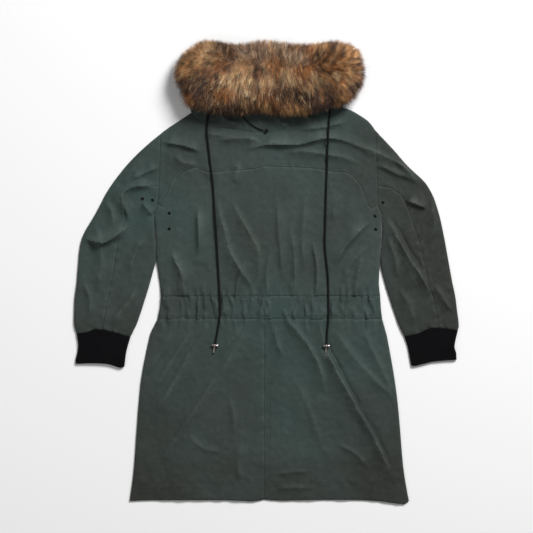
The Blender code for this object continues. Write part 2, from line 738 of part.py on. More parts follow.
def smooth_route(points, step):
    """Places every step along a smooth curve through these points."""
    points = [Vector(p) for p in points]
    ends = [points[0] * 2 - points[1], *points, points[-1] * 2 - points[-2]]
    dense = []
    for a, b, c, d in zip(ends, ends[1:], ends[2:], ends[3:]):
        for i in range(CURVE_SAMPLES):
            t = i / CURVE_SAMPLES
            dense.append(0.5 * (2 * b + (c - a) * t + (2 * a - 5 * b + 4 * c - d) * t ** 2
                                + (3 * b - a - 3 * c + d) * t ** 3))
    dense.append(points[-1])
    length = sum((b - a).length for a, b in zip(dense, dense[1:]))
    count = round(length / step)
    spaced, passed, wanted = [dense[0]], 0.0, length / count
    for a, b in zip(dense, dense[1:]):
        gap = (b - a).length
        while passed + gap >= wanted * len(spaced) - 1e-6 and len(spaced) < count:
            spaced.append(a.lerp(b, (wanted * len(spaced) - passed) / gap))
        passed += gap
    return [*spaced, points[-1]]


def make_cord(name, route, diameter, height, dressed, step):
    """A round cord that lies on the cloth all along its route."""
    radius = diameter / 2
    flat = smooth_route(route, step)
    lying = [height(p.x, p.y, step / 2) + radius + CORD_CLEAR for p in flat]
    eased = [max(lying[max(0, i - 1): i + 2]) for i in range(len(lying))]
    curve = bpy.data.curves.new(name, "CURVE")
    curve.dimensions = "3D"
    curve.bevel_depth = radius * MM
    curve.bevel_resolution = 2
    curve.use_fill_caps = True
    curve.materials.append(dressed)
    spline = curve.splines.new("POLY")
    spline.points.add(len(flat) - 1)
    for item, place, z in zip(spline.points, flat, eased):
        item.co = (place.x * MM, place.y * MM, z * MM, 1)
    made = bpy.data.objects.new(name, curve)
    bpy.context.collection.objects.link(made)
    return Vector((flat[-1].x, flat[-1].y, eased[-1]))


def turned(name, profile, place, axis, dressed, sides=16):
    """A solid turned from (radius, distance) pairs about an axis through a place."""
    across = Vector((0, 0, 1)).cross(axis)
    across = across.normalized() if across.length > 0.1 else Vector((1, 0, 0))
    up = axis.cross(across)
    bm = bmesh.new()
    rings = []
    for radius, distance in profile:
        turn = []
        for i in range(sides):
            angle = 2 * math.pi * i / sides
            offset = across * math.cos(angle) * radius + up * math.sin(angle) * radius + axis * distance
            turn.append(bm.verts.new((place + offset) * MM))
        rings.append(turn)
    for low, high in zip(rings, rings[1:]):
        for i in range(sides):
            j = (i + 1) % sides
            bm.faces.new((low[i], low[j], high[j], high[i]))
    bm.faces.new(rings[0][::-1])
    bm.faces.new(rings[-1])
    return add_object(name, bm, dressed)


def lying_height(middle, axis, length, radius, height):
    """The height at which a rod of this length lies on the cloth below it."""
    steps = [axis * length * share for share in (-0.5, -0.25, 0, 0.25, 0.5)]
    return max(height(middle.x + s.x, middle.y + s.y, radius) for s in steps) + radius + CORD_CLEAR


def make_cord_end(side, end, heading, height, metal):
    """The barrel lock across the end of the cord, and the metal tip below it."""
    crosswise = Vector((-heading.y, heading.x, 0))
    lock_at = end + heading * (LOCK_R + SEAM_GAP)
    lock_at.z = lying_height(lock_at, crosswise, LOCK_LONG, LOCK_R, height)
    half = LOCK_LONG / 2
    barrel = ((LOCK_R - 1.2, -half), (LOCK_R, -half + 1.4), (LOCK_R, half - 1.4), (LOCK_R - 1.2, half))
    turned(f"cord_lock_{side}", barrel, lock_at, crosswise, metal)
    tip_at = lock_at + heading * (LOCK_R + SEAM_GAP)
    tip_at.z = lying_height(tip_at + heading * TIP_LONG / 2, heading, TIP_LONG, TIP_R, height)
    tip = ((TIP_R - 0.8, 0), (TIP_R, 1.5), (TIP_R, TIP_LONG - 2), (TIP_R - 1.2, TIP_LONG))
    turned(f"cord_tip_{side}", tip, tip_at, heading, metal)


def make_eyelet(name, x, y, height, metal):
    """A small ring set in the cloth."""
    z = height(x, y, EYELET_R) + EYELET_TUBE + SEAM_GAP
    bm = bmesh.new()
    turns = []
    for i in range(EYELET_SIDES):
        angle = 2 * math.pi * i / EYELET_SIDES
        ring = []
        for j in range(EYELET_TUBE_SIDES):
            round_tube = 2 * math.pi * j / EYELET_TUBE_SIDES
            radius = EYELET_R + EYELET_TUBE * math.cos(round_tube)
            corner = Vector((
                x + radius * math.cos(angle),
                y + radius * math.sin(angle),
                z + EYELET_TUBE * math.sin(round_tube),
            ))
            ring.append(bm.verts.new(corner * MM))
        turns.append(ring)
    for i in range(EYELET_SIDES):
        for j in range(EYELET_TUBE_SIDES):
            k = (j + 1) % EYELET_TUBE_SIDES
            after = turns[(i + 1) % EYELET_SIDES]
            bm.faces.new((turns[i][j], after[j], after[k], turns[i][k]))
    add_object(f"eyelet_{name}", bm, metal)


def main():
    for item in list(bpy.data.objects):
        bpy.data.objects.remove(item)
    shell = material("shell_cotton", (0.047, 0.064, 0.056), 0.75)
    rib = material("rib_knit", (0.006, 0.006, 0.007), 0.9)
    fur = material("ruff_fur", (0.24, 0.13, 0.06), 0.7)
    braid = material("braided_cord", (0.006, 0.006, 0.008), 0.7)
    metal = material("cord_metal", (0.6, 0.56, 0.54), 0.3, 1.0)
    dark_metal = material("eyelet_metal", (0.02, 0.02, 0.022), 0.45, 1.0)
    cloth = make_back(shell)
    make_fronts(shell)
    cloth += make_sleeve("left", LEFT_SLEEVE, LEFT_ARMPIT, shell)
    cloth += make_sleeve("right", RIGHT_SLEEVE, RIGHT_ARMPIT, shell)
    make_cuff("left", CUFF_LEFT, rib)
    make_cuff("right", CUFF_RIGHT, rib)
    cloth += make_hood(shell)
    make_fur(fur)
    height = surface_reader(cloth)
    for side, route in (("left", LEFT_CORD), ("right", RIGHT_CORD)):
        end = make_cord(f"cord_{side}", route, CORD_D, height, braid, CORD_STEP)
        heading = (Vector(route[-1]) - Vector(route[-2])).normalized().to_3d()
        make_cord_end(side, end, heading, height, metal)
    make_cord("hood_adjuster_cord", ADJUSTER, ADJUSTER_D, height, braid, ADJUSTER_STEP)
    low = height(*STOPPER_AT, STOPPER_R) + CORD_CLEAR
    stopper = (
        (STOPPER_R - STOPPER_FOOT, 0), (STOPPER_R, 1),
        (STOPPER_R, STOPPER_HIGH - STOPPER_BEVEL), (STOPPER_R - STOPPER_BEVEL, STOPPER_HIGH),
    )
    turned("hood_adjuster_stop", stopper, Vector((*STOPPER_AT, low)), Vector((0, 0, 1)), dark_metal)
    for name, x, y in EYELETS:
        make_eyelet(name, x, y, height, dark_metal)


main()
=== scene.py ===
"""Dresses a fur trimmed parka that lies with its back up and its hood drawn out above the shoulders.

Each cut piece of cloth becomes a thin shell with its own creases, seams and stitching. The knitted
cuffs, the drawcords with their metal ends, the eyelets and the long fur are built beside them.
Tables and shapes are in millimetres: +X is the wearer's right, +Y runs from hem to hood, +Z is up.
"""

from __future__ import annotations

import json
import logging
import math
from dataclasses import dataclass, field
from enum import Enum

import bmesh
import bpy
import numpy as np
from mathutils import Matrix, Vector
from mathutils.bvhtree import BVHTree
from mathutils.geometry import delaunay_2d_cdt

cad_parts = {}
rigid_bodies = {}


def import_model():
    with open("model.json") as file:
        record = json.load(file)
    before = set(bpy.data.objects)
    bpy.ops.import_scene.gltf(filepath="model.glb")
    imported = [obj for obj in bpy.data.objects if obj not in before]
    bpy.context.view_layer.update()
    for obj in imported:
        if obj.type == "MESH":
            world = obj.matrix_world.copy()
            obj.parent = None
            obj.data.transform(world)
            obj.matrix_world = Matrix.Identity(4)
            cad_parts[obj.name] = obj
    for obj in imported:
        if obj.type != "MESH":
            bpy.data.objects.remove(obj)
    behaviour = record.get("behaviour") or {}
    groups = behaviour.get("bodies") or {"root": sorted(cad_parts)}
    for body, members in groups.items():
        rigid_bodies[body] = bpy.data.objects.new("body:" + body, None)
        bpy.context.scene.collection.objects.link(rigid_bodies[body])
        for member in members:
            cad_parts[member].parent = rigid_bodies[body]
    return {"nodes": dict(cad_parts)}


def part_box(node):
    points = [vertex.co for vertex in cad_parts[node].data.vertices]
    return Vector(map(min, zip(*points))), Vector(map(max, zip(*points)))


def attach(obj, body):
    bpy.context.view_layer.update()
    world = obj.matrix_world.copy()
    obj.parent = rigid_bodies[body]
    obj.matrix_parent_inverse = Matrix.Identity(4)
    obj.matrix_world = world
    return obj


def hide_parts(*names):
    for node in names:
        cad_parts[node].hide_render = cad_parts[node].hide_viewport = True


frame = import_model()
for leftover in [item for item in bpy.data.objects if item.name in ("Cube", "Light", "Camera")]:
    bpy.data.objects.remove(leftover)
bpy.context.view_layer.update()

LOG = logging.getLogger("parka")
MM = 0.001
DOUBLE = 2e-5  # corners closer than this, in metres, are one
Route = tuple[tuple[float, float], ...]
Colour = tuple[int, int, int]

# Sizes shared by the pieces of the coat
BACK_TOP = 6.5  # outer face of the cloth where it lies plain
HOOD_TOP = 9.0
CLOTH = 2.0
CASING_LOW, CASING_HIGH = -119.0, -62.0
HEM_STITCH_Y = -529.0
CENTRE_BACK_X = -6.0
HOOD_FROM_Y = 340  # the hood is above this

# The seams that carry stitching or puckers
YOKE_SEAM = (
    (-258, 160), (-249, 176), (-238, 198), (-230, 221), (-219, 241), (-200, 252), (-178, 260), (-146, 248),
    (-31, 256), (-8, 262), (110, 258), (156, 250), (196, 248), (214, 239), (233, 218), (244, 195),
    (254, 166), (262, 157),
)
NECK_SEAM = (
    (-188, 396), (-176, 383), (-146, 362), (-102, 357), (-60, 352), (0, 346), (60, 362), (110, 374),
    (160, 386), (190, 409),
)
ARMHOLE_LEFT = ((-265, 343), (-270, 213), (-272, 168))
ARMHOLE_RIGHT = ((272, 352), (277, 215), (278, 165))
ELBOW_LEFT = (
    (-270, 213), (-300, 212), (-338, 209), (-359, 187), (-352, 128), (-370, 80), (-385, -11), (-398, -70),
    (-406, -118), (-414, -146),
)
ELBOW_RIGHT = (
    (277, 215), (312, 208), (337, 190), (352, 160), (366, 120), (378, 85), (401, -8), (417, -70),
    (427, -118), (426, -142),
)
CUFF_SEAM_LEFT = ((-340, -164), (-397, -148), (-431, -145), (-448, -152), (-475, -155))
CUFF_SEAM_RIGHT = ((478, -148), (442, -142), (410, -142), (382, -154), (344, -163))
CENTRE_BACK = ((CENTRE_BACK_X, CASING_LOW), (CENTRE_BACK_X, -340), (CENTRE_BACK_X, -566))
CASING_TOP_LINE = ((-264, -66), (284, -66))
CASING_LOW_LINE = ((-271, -115), (288, -115))
HEM_LINE = ((-336, HEM_STITCH_Y), (-100, -527), (120, -528), (348, HEM_STITCH_Y))


class Region(Enum):
    """The stretch of the coat that a crease belongs to."""

    ANY = "any"
    BODY = "body"
    LEFT_ARM = "left arm"
    RIGHT_ARM = "right arm"


# ---------------------------------------------------------------- curves and noise

SEED_TURN = 0.7  # radians by which one seed turns the noise from the next
SCATTER_X, SCATTER_Y, SCATTER_SEED, SCATTER = 127.1, 311.7, 74.7, 43758.5453


def rows(points: Route) -> np.ndarray:
    """The points as an array of rows."""
    return np.array(points, float)


def curved(points: np.ndarray, step: float) -> np.ndarray:
    """Points about a step apart on a smooth curve through these ones.

    Args:
        points: the places that the curve passes, as rows of x and y.
        step: the wanted spacing in millimetres.

    Returns:
        The rows of the curve, with both ends kept.
    """
    ends = np.vstack((2 * points[0] - points[1], points, 2 * points[-1] - points[-2]))
    found = []
    for a, b, c, d in zip(ends, ends[1:], ends[2:], ends[3:]):
        long = float(np.linalg.norm(c - b))
        leave = (c - a) * long / (long + float(np.linalg.norm(b - a)))
        reach = (d - b) * long / (long + float(np.linalg.norm(d - c)))
        count = max(1, round(long / step))
        t = (np.arange(count) / count)[:, None]
        bow = t * (1 - t)
        found.append(b + (c - b) * t * t * (3 - 2 * t) + bow * ((1 - t) * leave - t * reach))
    return np.vstack((*found, points[-1:]))


def lengths_along(points: np.ndarray) -> np.ndarray:
    """How far along the line each of its points is."""
    return np.concatenate(([0.0], np.cumsum(np.linalg.norm(np.diff(points, axis=0), axis=1))))


def at_lengths(points: np.ndarray, wanted: np.ndarray) -> np.ndarray:
    """The places on a line at these lengths along it."""
    walked = lengths_along(points)
    return np.column_stack([np.interp(wanted, walked, points[:, axis]) for axis in range(points.shape[1])])


def beside(points: np.ndarray, route: np.ndarray) -> tuple[np.ndarray, np.ndarray, float]:
    """Where points lie beside a line.

    Args:
        points: rows of x and y.
        route: the line's rows.

    Returns:
        The distance from the line, positive on its left; the length passed at the foot of each
        point; and the line's whole length.
    """
    away = np.full(len(points), 1e9)
    side = np.ones(len(points))
    passed = np.zeros(len(points))
    walked = 0.0
    for a, b in zip(route, route[1:]):
        line = b - a
        length = float(np.hypot(*line))
        offset = points - a
        share = np.clip(offset @ line / length**2, 0, 1)
        gap = np.hypot(*(offset - share[:, None] * line).T)
        near = gap < away
        away[near] = gap[near]
        side[near] = np.where(line[0] * offset[near, 1] - line[1] * offset[near, 0] >= 0, 1.0, -1.0)
        passed[near] = walked + share[near] * length
        walked += length
    return away * side, passed, walked


def spun(points: np.ndarray, angle: float) -> np.ndarray:
    """The places turned by an angle in radians about the origin."""
    return points @ np.array([[math.cos(angle), -math.sin(angle)], [math.sin(angle), math.cos(angle)]])


def noise(points: np.ndarray, size: float, seed: float) -> np.ndarray:
    """Smooth noise from -1 to 1 over places whose lumps are about this size."""
    return lattice(spun(points, seed * SEED_TURN) / size, seed)


def lattice(cell: np.ndarray, seed: float) -> np.ndarray:
    """Smooth noise from -1 to 1 whose lumps are one unit wide.

    Args:
        cell: rows of x and y, counted in lumps.
        seed: which noise it is.

    Returns:
        One value for each row.
    """
    base = np.floor(cell)
    part = cell - base
    ease = part * part * (3 - 2 * part)
    corner = []
    for step_x, step_y in ((0, 0), (1, 0), (0, 1), (1, 1)):
        turn = (base[:, 0] + step_x) * SCATTER_X + (base[:, 1] + step_y) * SCATTER_Y
        mixed = np.sin(turn + seed * SCATTER_SEED) * SCATTER
        corner.append(2 * (mixed - np.floor(mixed)) - 1)
    low = corner[0] + (corner[1] - corner[0]) * ease[:, 0]
    high = corner[2] + (corner[3] - corner[2]) * ease[:, 0]
    return low + (high - low) * ease[:, 1]


def eased(share: np.ndarray) -> np.ndarray:
    """A smooth step from 0 to 1 as the share goes from 0 to 1."""
    held = np.clip(share, 0, 1)
    return held * held * (3 - 2 * held)


def rounded(share: np.ndarray) -> np.ndarray:
    """A quarter circle's rise from 0 to 1 as the share goes from 0 to 1."""
    return np.sqrt(1 - (1 - share) ** 2)


def bell(away: np.ndarray, width: float) -> np.ndarray:
    """A hump that is 1 where away is 0 and falls off over the width."""
    return np.exp(-((away / width) ** 2))


def scattered(number: np.ndarray, turn: float, size: float) -> np.ndarray:
    """A fixed share from 0 to 1 for each number, which looks random."""
    return np.modf(np.abs(np.sin(number * turn)) * size)[0]


# ---------------------------------------------------------------- relief of the cloth


@dataclass(frozen=True)
class Crease:
    """A soft ridge, or a trough where its height is below zero, along a route on the cloth."""

    height: float
    width: float
    lean: float  # above 0 it is steep on the left of its route, below 0 on the right
    route: Route
    region: Region = Region.ANY


CREASES = (
    # the yoke and the shoulders
    Crease(2.6, 9, -0.5, ((-262, 322), (-205, 312), (-160, 296)), Region.BODY),
    Crease(2.2, 8, 0.4, ((-127, 330), (-54, 332), (-10, 325)), Region.BODY),
    Crease(2.8, 10, -0.4, ((-66, 301), (-4, 315), (84, 318), (148, 332), (183, 328), (220, 316), (268, 298))),
    Crease(1.6, 9, 0.3, ((-232, 290), (-205, 272), (-170, 268)), Region.BODY),
    Crease(1.5, 8, 0.3, ((40, 300), (120, 296), (190, 286), (240, 262)), Region.BODY),
    Crease(1.4, 9, 0.0, ((-160, 345), (-120, 340), (-60, 338)), Region.BODY),
    Crease(1.8, 9, -0.4, ((80, 352), (150, 362), (205, 372))),
    Crease(2.2, 10, 0.5, ((208, 322), (275, 299), (333, 267), (378, 236))),
    Crease(1.7, 9, -0.4, ((262, 266), (307, 254), (344, 236), (380, 222))),
    Crease(1.8, 9, 0.4, ((-262, 262), (-300, 246), (-342, 226))),
    Crease(-1.2, 7, 0.0, ((-177, 254), (-158, 236), (-139, 206)), Region.BODY),
    # the back panel
    Crease(3.0, 10, 0.5, ((-123, 182), (-100, 84), (-77, 22), (-31, -46)), Region.BODY),
    Crease(2.0, 9, 0.5, ((-92, 188), (-54, 114), (-24, 65), (-16, 26), (-24, -46)), Region.BODY),
    Crease(1.6, 9, -0.3, ((26, 184), (34, 46), (45, -34)), Region.BODY),
    Crease(1.4, 9, 0.3, ((98, 196), (92, 90), (98, -20)), Region.BODY),
    Crease(2.6, 11, 0.5, ((262, 128), (206, 72), (164, 4)), Region.BODY),
    Crease(1.6, 9, 0.3, ((254, 64), (214, 22), (190, -34)), Region.BODY),
    Crease(2.2, 10, -0.5, ((-172, 168), (-172, 100), (-170, 36)), Region.BODY),
    Crease(-1.3, 10, 0.0, ((-198, 26), (-160, -8), (-121, -46)), Region.BODY),
    Crease(1.5, 8, 0.2, ((-66, 276), (-74, 248), (-77, 214)), Region.BODY),
    Crease(1.3, 8, 0.0, ((-240, 60), (-214, 10), (-196, -40)), Region.BODY),
    Crease(1.1, 7, 0.0, ((188, 196), (170, 160), (168, 118)), Region.BODY),
    Crease(1.8, 7, 0.4, ((-240, 60), (-210, -20), (-196, -88)), Region.BODY),
    Crease(1.6, 6, -0.3, ((-52, 40), (-72, -24), (-80, -90)), Region.BODY),
    Crease(1.8, 6, 0.3, ((12, 60), (0, -14), (4, -92)), Region.BODY),
    Crease(1.7, 6, -0.3, ((112, 90), (126, -10), (122, -92)), Region.BODY),
    Crease(1.6, 7, 0.3, ((60, 120), (72, 0), (64, -92)), Region.BODY),
    Crease(1.5, 6, 0.3, ((244, 50), (228, -20), (222, -92)), Region.BODY),
    # the skirt
    Crease(
        3.2, 10, 0.6,
        ((119, -92), (140, -156), (155, -208), (222, -333), (270, -419), (327, -536)),
        Region.BODY,
    ),
    Crease(
        -1.3, 4, 0.0,
        ((127, -126), (148, -160), (164, -210), (231, -335), (279, -420), (330, -520)),
        Region.BODY,
    ),
    Crease(
        2.4, 9, 0.5, ((45, -84), (54, -118), (93, -170), (116, -208), (140, -261), (150, -322)), Region.BODY
    ),
    Crease(1.9, 13, -0.4, ((-32, -134), (-99, -228), (-209, -390), (-290, -508)), Region.BODY),
    Crease(1.7, 12, -0.4, ((-146, -138), (-204, -228), (-292, -384)), Region.BODY),
    Crease(1.1, 8, 0.3, ((-94, -306), (-80, -366), (-82, -424)), Region.BODY),
    Crease(1.6, 12, 0.4, ((160, -136), (231, -228), (320, -322)), Region.BODY),
    Crease(1.0, 12, 0.2, ((60, -250), (110, -350), (150, -470)), Region.BODY),
    Crease(1.0, 10, 0.0, ((-60, -420), (-70, -480), (-62, -530)), Region.BODY),
    Crease(0.9, 6, 0.0, ((16, -509), (60, -502), (116, -499)), Region.BODY),
    Crease(0.8, 6, 0.0, ((20, -546), (70, -540), (112, -544)), Region.BODY),
    Crease(1.2, 10, 0.2, ((-230, -140), (-262, -200), (-300, -262)), Region.BODY),
    Crease(1.3, 9, 0.4, ((232, -130), (262, -190), (292, -250), (316, -330)), Region.BODY),
    Crease(1.2, 9, -0.4, ((-180, -130), (-236, -222), (-286, -300)), Region.BODY),
    Crease(1.5, 7, 0.3, ((20, -126), (26, -170), (44, -214)), Region.BODY),
    Crease(1.4, 7, -0.3, ((-60, -128), (-90, -176), (-128, -220)), Region.BODY),
    Crease(1.0, 7, 0.2, ((170, -430), (220, -452), (262, -498)), Region.BODY),
    Crease(1.0, 8, 0.0, ((-200, -400), (-160, -440), (-110, -452)), Region.BODY),
    # the left sleeve
    Crease(3.4, 10, -0.5, ((-460, 84), (-434, 76), (-409, 69), (-376, 88), (-338, 118)), Region.LEFT_ARM),
    Crease(3.0, 9, 0.4, ((-272, 214), (-333, 210), (-358, 192), (-350, 150), (-334, 122)), Region.LEFT_ARM),
    Crease(-1.4, 7, 0.0, ((-300, 200), (-326, 186), (-330, 160)), Region.LEFT_ARM),
    Crease(2.4, 8, 0.4, ((-312, 172), (-296, 156), (-284, 140)), Region.LEFT_ARM),
    Crease(2.2, 9, -0.4, ((-322, -34), (-347, -76), (-383, -117), (-398, -138)), Region.LEFT_ARM),
    Crease(1.6, 10, 0.3, ((-430, 128), (-412, 40), (-424, -60)), Region.LEFT_ARM),
    Crease(1.5, 9, 0.3, ((-300, 90), (-330, 40), (-344, -10)), Region.LEFT_ARM),
    Crease(1.3, 8, 0.0, ((-462, -20), (-440, -70), (-444, -120)), Region.LEFT_ARM),
    Crease(1.5, 9, 0.2, ((-402, 178), (-384, 140), (-384, 104)), Region.LEFT_ARM),
    Crease(1.2, 8, 0.0, ((-300, 284), (-340, 246), (-366, 214)), Region.LEFT_ARM),
    Crease(-1.2, 4, 0.0, ((-318, 206), (-296, 194), (-280, 176), (-272, 150)), Region.LEFT_ARM),
    # the right sleeve
    Crease(3.6, 11, 0.5, ((298, 142), (329, 80), (356, 35), (387, -14), (414, -76)), Region.RIGHT_ARM),
    Crease(-1.3, 5, 0.0, ((308, 142), (339, 82), (366, 37), (396, -14)), Region.RIGHT_ARM),
    Crease(2.6, 8, -0.4, ((345, 178), (372, 168), (404, 154)), Region.RIGHT_ARM),
    Crease(1.8, 8, 0.3, ((418, -30), (445, -72), (466, -102)), Region.RIGHT_ARM),
    Crease(1.6, 9, 0.3, ((412, 180), (420, 120), (404, 60)), Region.RIGHT_ARM),
    Crease(1.6, 9, 0.0, ((300, 96), (318, 40), (330, -20)), Region.RIGHT_ARM),
    Crease(1.4, 9, 0.2, ((330, -40), (360, -90), (372, -140)), Region.RIGHT_ARM),
    Crease(1.3, 8, 0.0, ((300, 300), (352, 250), (386, 206)), Region.RIGHT_ARM),
    # the hood below the fur
    Crease(1.8, 8, 0.3, ((-122, 398), (-96, 376), (-64, 368))),
    Crease(1.6, 8, -0.3, ((20, 396), (34, 372), (60, 362))),
    Crease(1.5, 8, 0.3, ((96, 398), (104, 384), (130, 376))),
)


@dataclass(frozen=True)
class Pucker:
    """The small rumples that stitching draws up beside a seam."""

    height: float
    pitch: float
    reach: float
    route: Route


PUCKERS = (
    Pucker(0.55, 11, 7, CENTRE_BACK),
    Pucker(0.55, 9, 8, ELBOW_LEFT),
    Pucker(0.6, 9, 8, ELBOW_RIGHT),
    Pucker(0.4, 10, 7, YOKE_SEAM),
    Pucker(0.4, 12, 9, HEM_LINE),
    Pucker(0.4, 10, 6, NECK_SEAM),
    Pucker(0.5, 10, 7, ARMHOLE_LEFT),
    Pucker(0.5, 10, 7, ARMHOLE_RIGHT),
    Pucker(0.5, 8, 9, CUFF_SEAM_LEFT),
    Pucker(0.5, 8, 9, CUFF_SEAM_RIGHT),
)


# Where metal sits on the cloth and holds it down, as x, y and reach: locks, stop and eyelets
PRESSED = (
    (-131, -190, 16), (150, -190, 16), (0, 351, 12),
    (-310, 181, 8), (-285, 178, 8), (-243, 145, 8), (-243, 106, 8),
    (291, 172, 8), (271, 138, 8), (273, 105, 8),
)


@dataclass
class Relief:
    """The height of the outer face of the cloth over the ground, creases and gathers included."""

    creases: tuple[Crease, ...] = CREASES
    puckers: tuple[Pucker, ...] = PUCKERS
    strength: float = 5.0  # of every crease over its stated height
    narrow: float = 1.0  # of every crease over its stated width
    crest: float = 1.35  # 2 is a round crest, and less is a sharper one
    drawn: float = 3.0  # of every pucker over its stated height
    gather: float = 6.0  # height of the waist's gathers
    gather_pitch: float = 9.0
    rumple: float = 1.5  # height of the small rumples
    swell: float = 1.1  # height of the wide swells
    lowest: float = 4.9  # the outer face is nowhere below this
    fade: float = 0.3  # share of a crease's length over which it comes and goes

    def crease_height(self, points: np.ndarray, crease: Crease) -> np.ndarray:
        """How far one crease lifts the cloth at each place.

        Args:
            points: rows of x and y.
            crease: the crease.

        Returns:
            One height for each row, in millimetres.
        """
        found = np.zeros(len(points))
        route = curved(rows(crease.route), 12)
        reach = 3 * crease.width
        low, high = route.min(axis=0) - reach, route.max(axis=0) + reach
        near = ((points > low) & (points < high)).all(axis=1)
        if not near.any():
            return found
        away, passed, length = beside(points[near], route)
        away = away + 2.0 * noise(points[near], 34, crease.height)
        share = passed / length
        end = eased(share / self.fade) * eased((1 - share) / self.fade)
        width = self.narrow * crease.width * (1 - crease.lean * np.sign(away)) * (0.55 + 0.45 * end)
        along = np.column_stack((passed, passed * 0))
        uneven = 0.85 + 0.25 * noise(along, 42, crease.width + crease.height)
        falls = np.exp(-(np.abs(away / width) ** self.crest))
        found[near] = self.strength * crease.height * uneven * end * falls
        return found

    def pucker_height(self, points: np.ndarray, pucker: Pucker) -> np.ndarray:
        """How far the rumples of one seam lift the cloth at each place.

        Args:
            points: rows of x and y.
            pucker: the seam's rumples.

        Returns:
            One height for each row, in millimetres.
        """
        found = np.zeros(len(points))
        route = curved(rows(pucker.route), 14)
        reach = 3 * pucker.reach
        low, high = route.min(axis=0) - reach, route.max(axis=0) + reach
        near = ((points > low) & (points < high)).all(axis=1)
        if not near.any():
            return found
        away, passed, _ = beside(points[near], route)
        slanted = np.column_stack((passed + 0.5 * away, away * 0.3)) / pucker.pitch
        lumps = lattice(slanted, pucker.pitch)
        found[near] = self.drawn * pucker.height * lumps * bell(away, pucker.reach)
        return found

    def gathers(self, points: np.ndarray) -> np.ndarray:
        """The uneven upright gathers of the waist casing, which run out above and below it.

        Args:
            points: rows of x and y.

        Returns:
            One height for each row, in millimetres.
        """
        x, y = points.T
        above = np.clip(y - CASING_HIGH, 0, None)
        below = np.clip(CASING_LOW - y, 0, None)
        held = bell(above + below, 24) * np.where(above + below > 0, 0.6, 1.0)
        bent = np.column_stack((x + 5 * noise(points, 28, 3), y * 0.15)) / self.gather_pitch
        fine = np.column_stack((x + 3 * noise(points, 15, 5), y * 0.3)) / (0.55 * self.gather_pitch)
        slack = 0.75 + 0.45 * noise(np.column_stack((x, x * 0)), 90, 8)
        flutes = lattice(bent, 11) + 0.4 * lattice(fine, 17)
        pinch = sum(bell(y - line, 2.2) for line in (CASING_HIGH - 4, CASING_LOW + 4))
        return self.gather * slack * held * flutes - 1.8 * pinch

    def at(self, points: np.ndarray, region: Region) -> np.ndarray:
        """The height of the cloth at each place.

        Args:
            points: rows of x and y.
            region: the stretch of the coat, which picks the creases that count.

        Returns:
            One height for each row, in millimetres.
        """
        neck, _, _ = beside(points, rows(NECK_SEAM))
        hood = eased(np.clip(neck, 0, None) / 25) * (points[:, 1] > HOOD_FROM_Y)
        high = BACK_TOP + (HOOD_TOP - BACK_TOP) * hood
        high = high + self.swell * noise(points, 88, 1) + 0.5 * self.swell * noise(points, 47, 2)
        stretched = points @ np.array([[1.0, 0.35], [-0.35, 1.0]]) * np.array([1.0, 0.45])
        high = high + self.rumple * noise(stretched, 21, 4) + 0.4 * self.rumple * noise(points, 11, 6)
        for crease in self.creases:
            if crease.region in (Region.ANY, region):
                high = high + self.crease_height(points, crease)
        for pucker in self.puckers:
            high = high + self.pucker_height(points, pucker)
        if region is Region.BODY:
            high = high + self.gathers(points)
        for spot_x, spot_y, reach in PRESSED:
            square = (points[:, 0] - spot_x) ** 2 + (points[:, 1] - spot_y) ** 2
            near = np.exp(-(square / reach**2))
            high = high + (BACK_TOP + 0.5 - high) * near * (high > BACK_TOP)
        return np.maximum(high, self.lowest)


# ---------------------------------------------------------------- meshes


def added(name: str, data: bpy.types.ID) -> bpy.types.Object:
    """A new object in the scene with this data.

    Args:
        name: the name of the object.
        data: its mesh, curve, light or camera.

    Returns:
        The object.
    """
    made = bpy.data.objects.new(name, data)
    bpy.context.collection.objects.link(made)
    return made


def mesh_piece(
    name: str, places: np.ndarray, faces: list, finish: bpy.types.Material, sharp: float = 38
) -> bpy.types.Object:
    """A piece of the coat made from places in millimetres and the corners of its faces.

    Args:
        name: the piece's name.
        places: rows of x, y and z in millimetres.
        faces: the corners of each face.
        finish: the material it wears.
        sharp: the angle in degrees over which an edge stays sharp.

    Returns:
        The object; settle later makes it ride with the coat.
    """
    mesh = bpy.data.meshes.new(name)
    mesh.from_pydata((places * MM).tolist(), [], faces)
    mesh.shade_smooth()
    mesh.set_sharp_from_angle(angle=math.radians(sharp))
    mesh.materials.append(finish)
    return added(name, mesh)


def settle(made: bpy.types.Object, nodes: tuple[str, ...] = ()) -> bpy.types.Object:
    """Rides the piece with the coat and the nodes that it stands for.

    Args:
        made: the piece.
        nodes: the nodes that it stands for, if any.

    Returns:
        The same piece.
    """
    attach(made, "root")
    if nodes:
        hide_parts(*nodes)
    LOG.info("%s: %d faces", made.name, len(made.data.polygons) if made.type == "MESH" else 0)
    return made


def store(made: bpy.types.Object, name: str, values: np.ndarray) -> None:
    """Keeps one number for each corner of the piece, which its finish reads by name."""
    layer = made.data.attributes.new(name, "FLOAT", "POINT")
    layer.data.foreach_set("value", values.astype(np.float32))


def welded(node: bpy.types.Object) -> tuple[np.ndarray, np.ndarray]:
    """A node's places in millimetres with doubles merged, and its triangles.

    Args:
        node: the node as it was loaded.

    Returns:
        The rows of its places, and the corners of its triangles.
    """
    solid = bmesh.new()
    solid.from_mesh(node.data)
    bmesh.ops.remove_doubles(solid, verts=solid.verts[:], dist=DOUBLE)
    bmesh.ops.triangulate(solid, faces=solid.faces[:])
    solid.verts.index_update()
    places = np.array([corner.co[:] for corner in solid.verts]) / MM
    triangles = np.array([[corner.index for corner in face.verts] for face in solid.faces])
    solid.free()
    return places, triangles


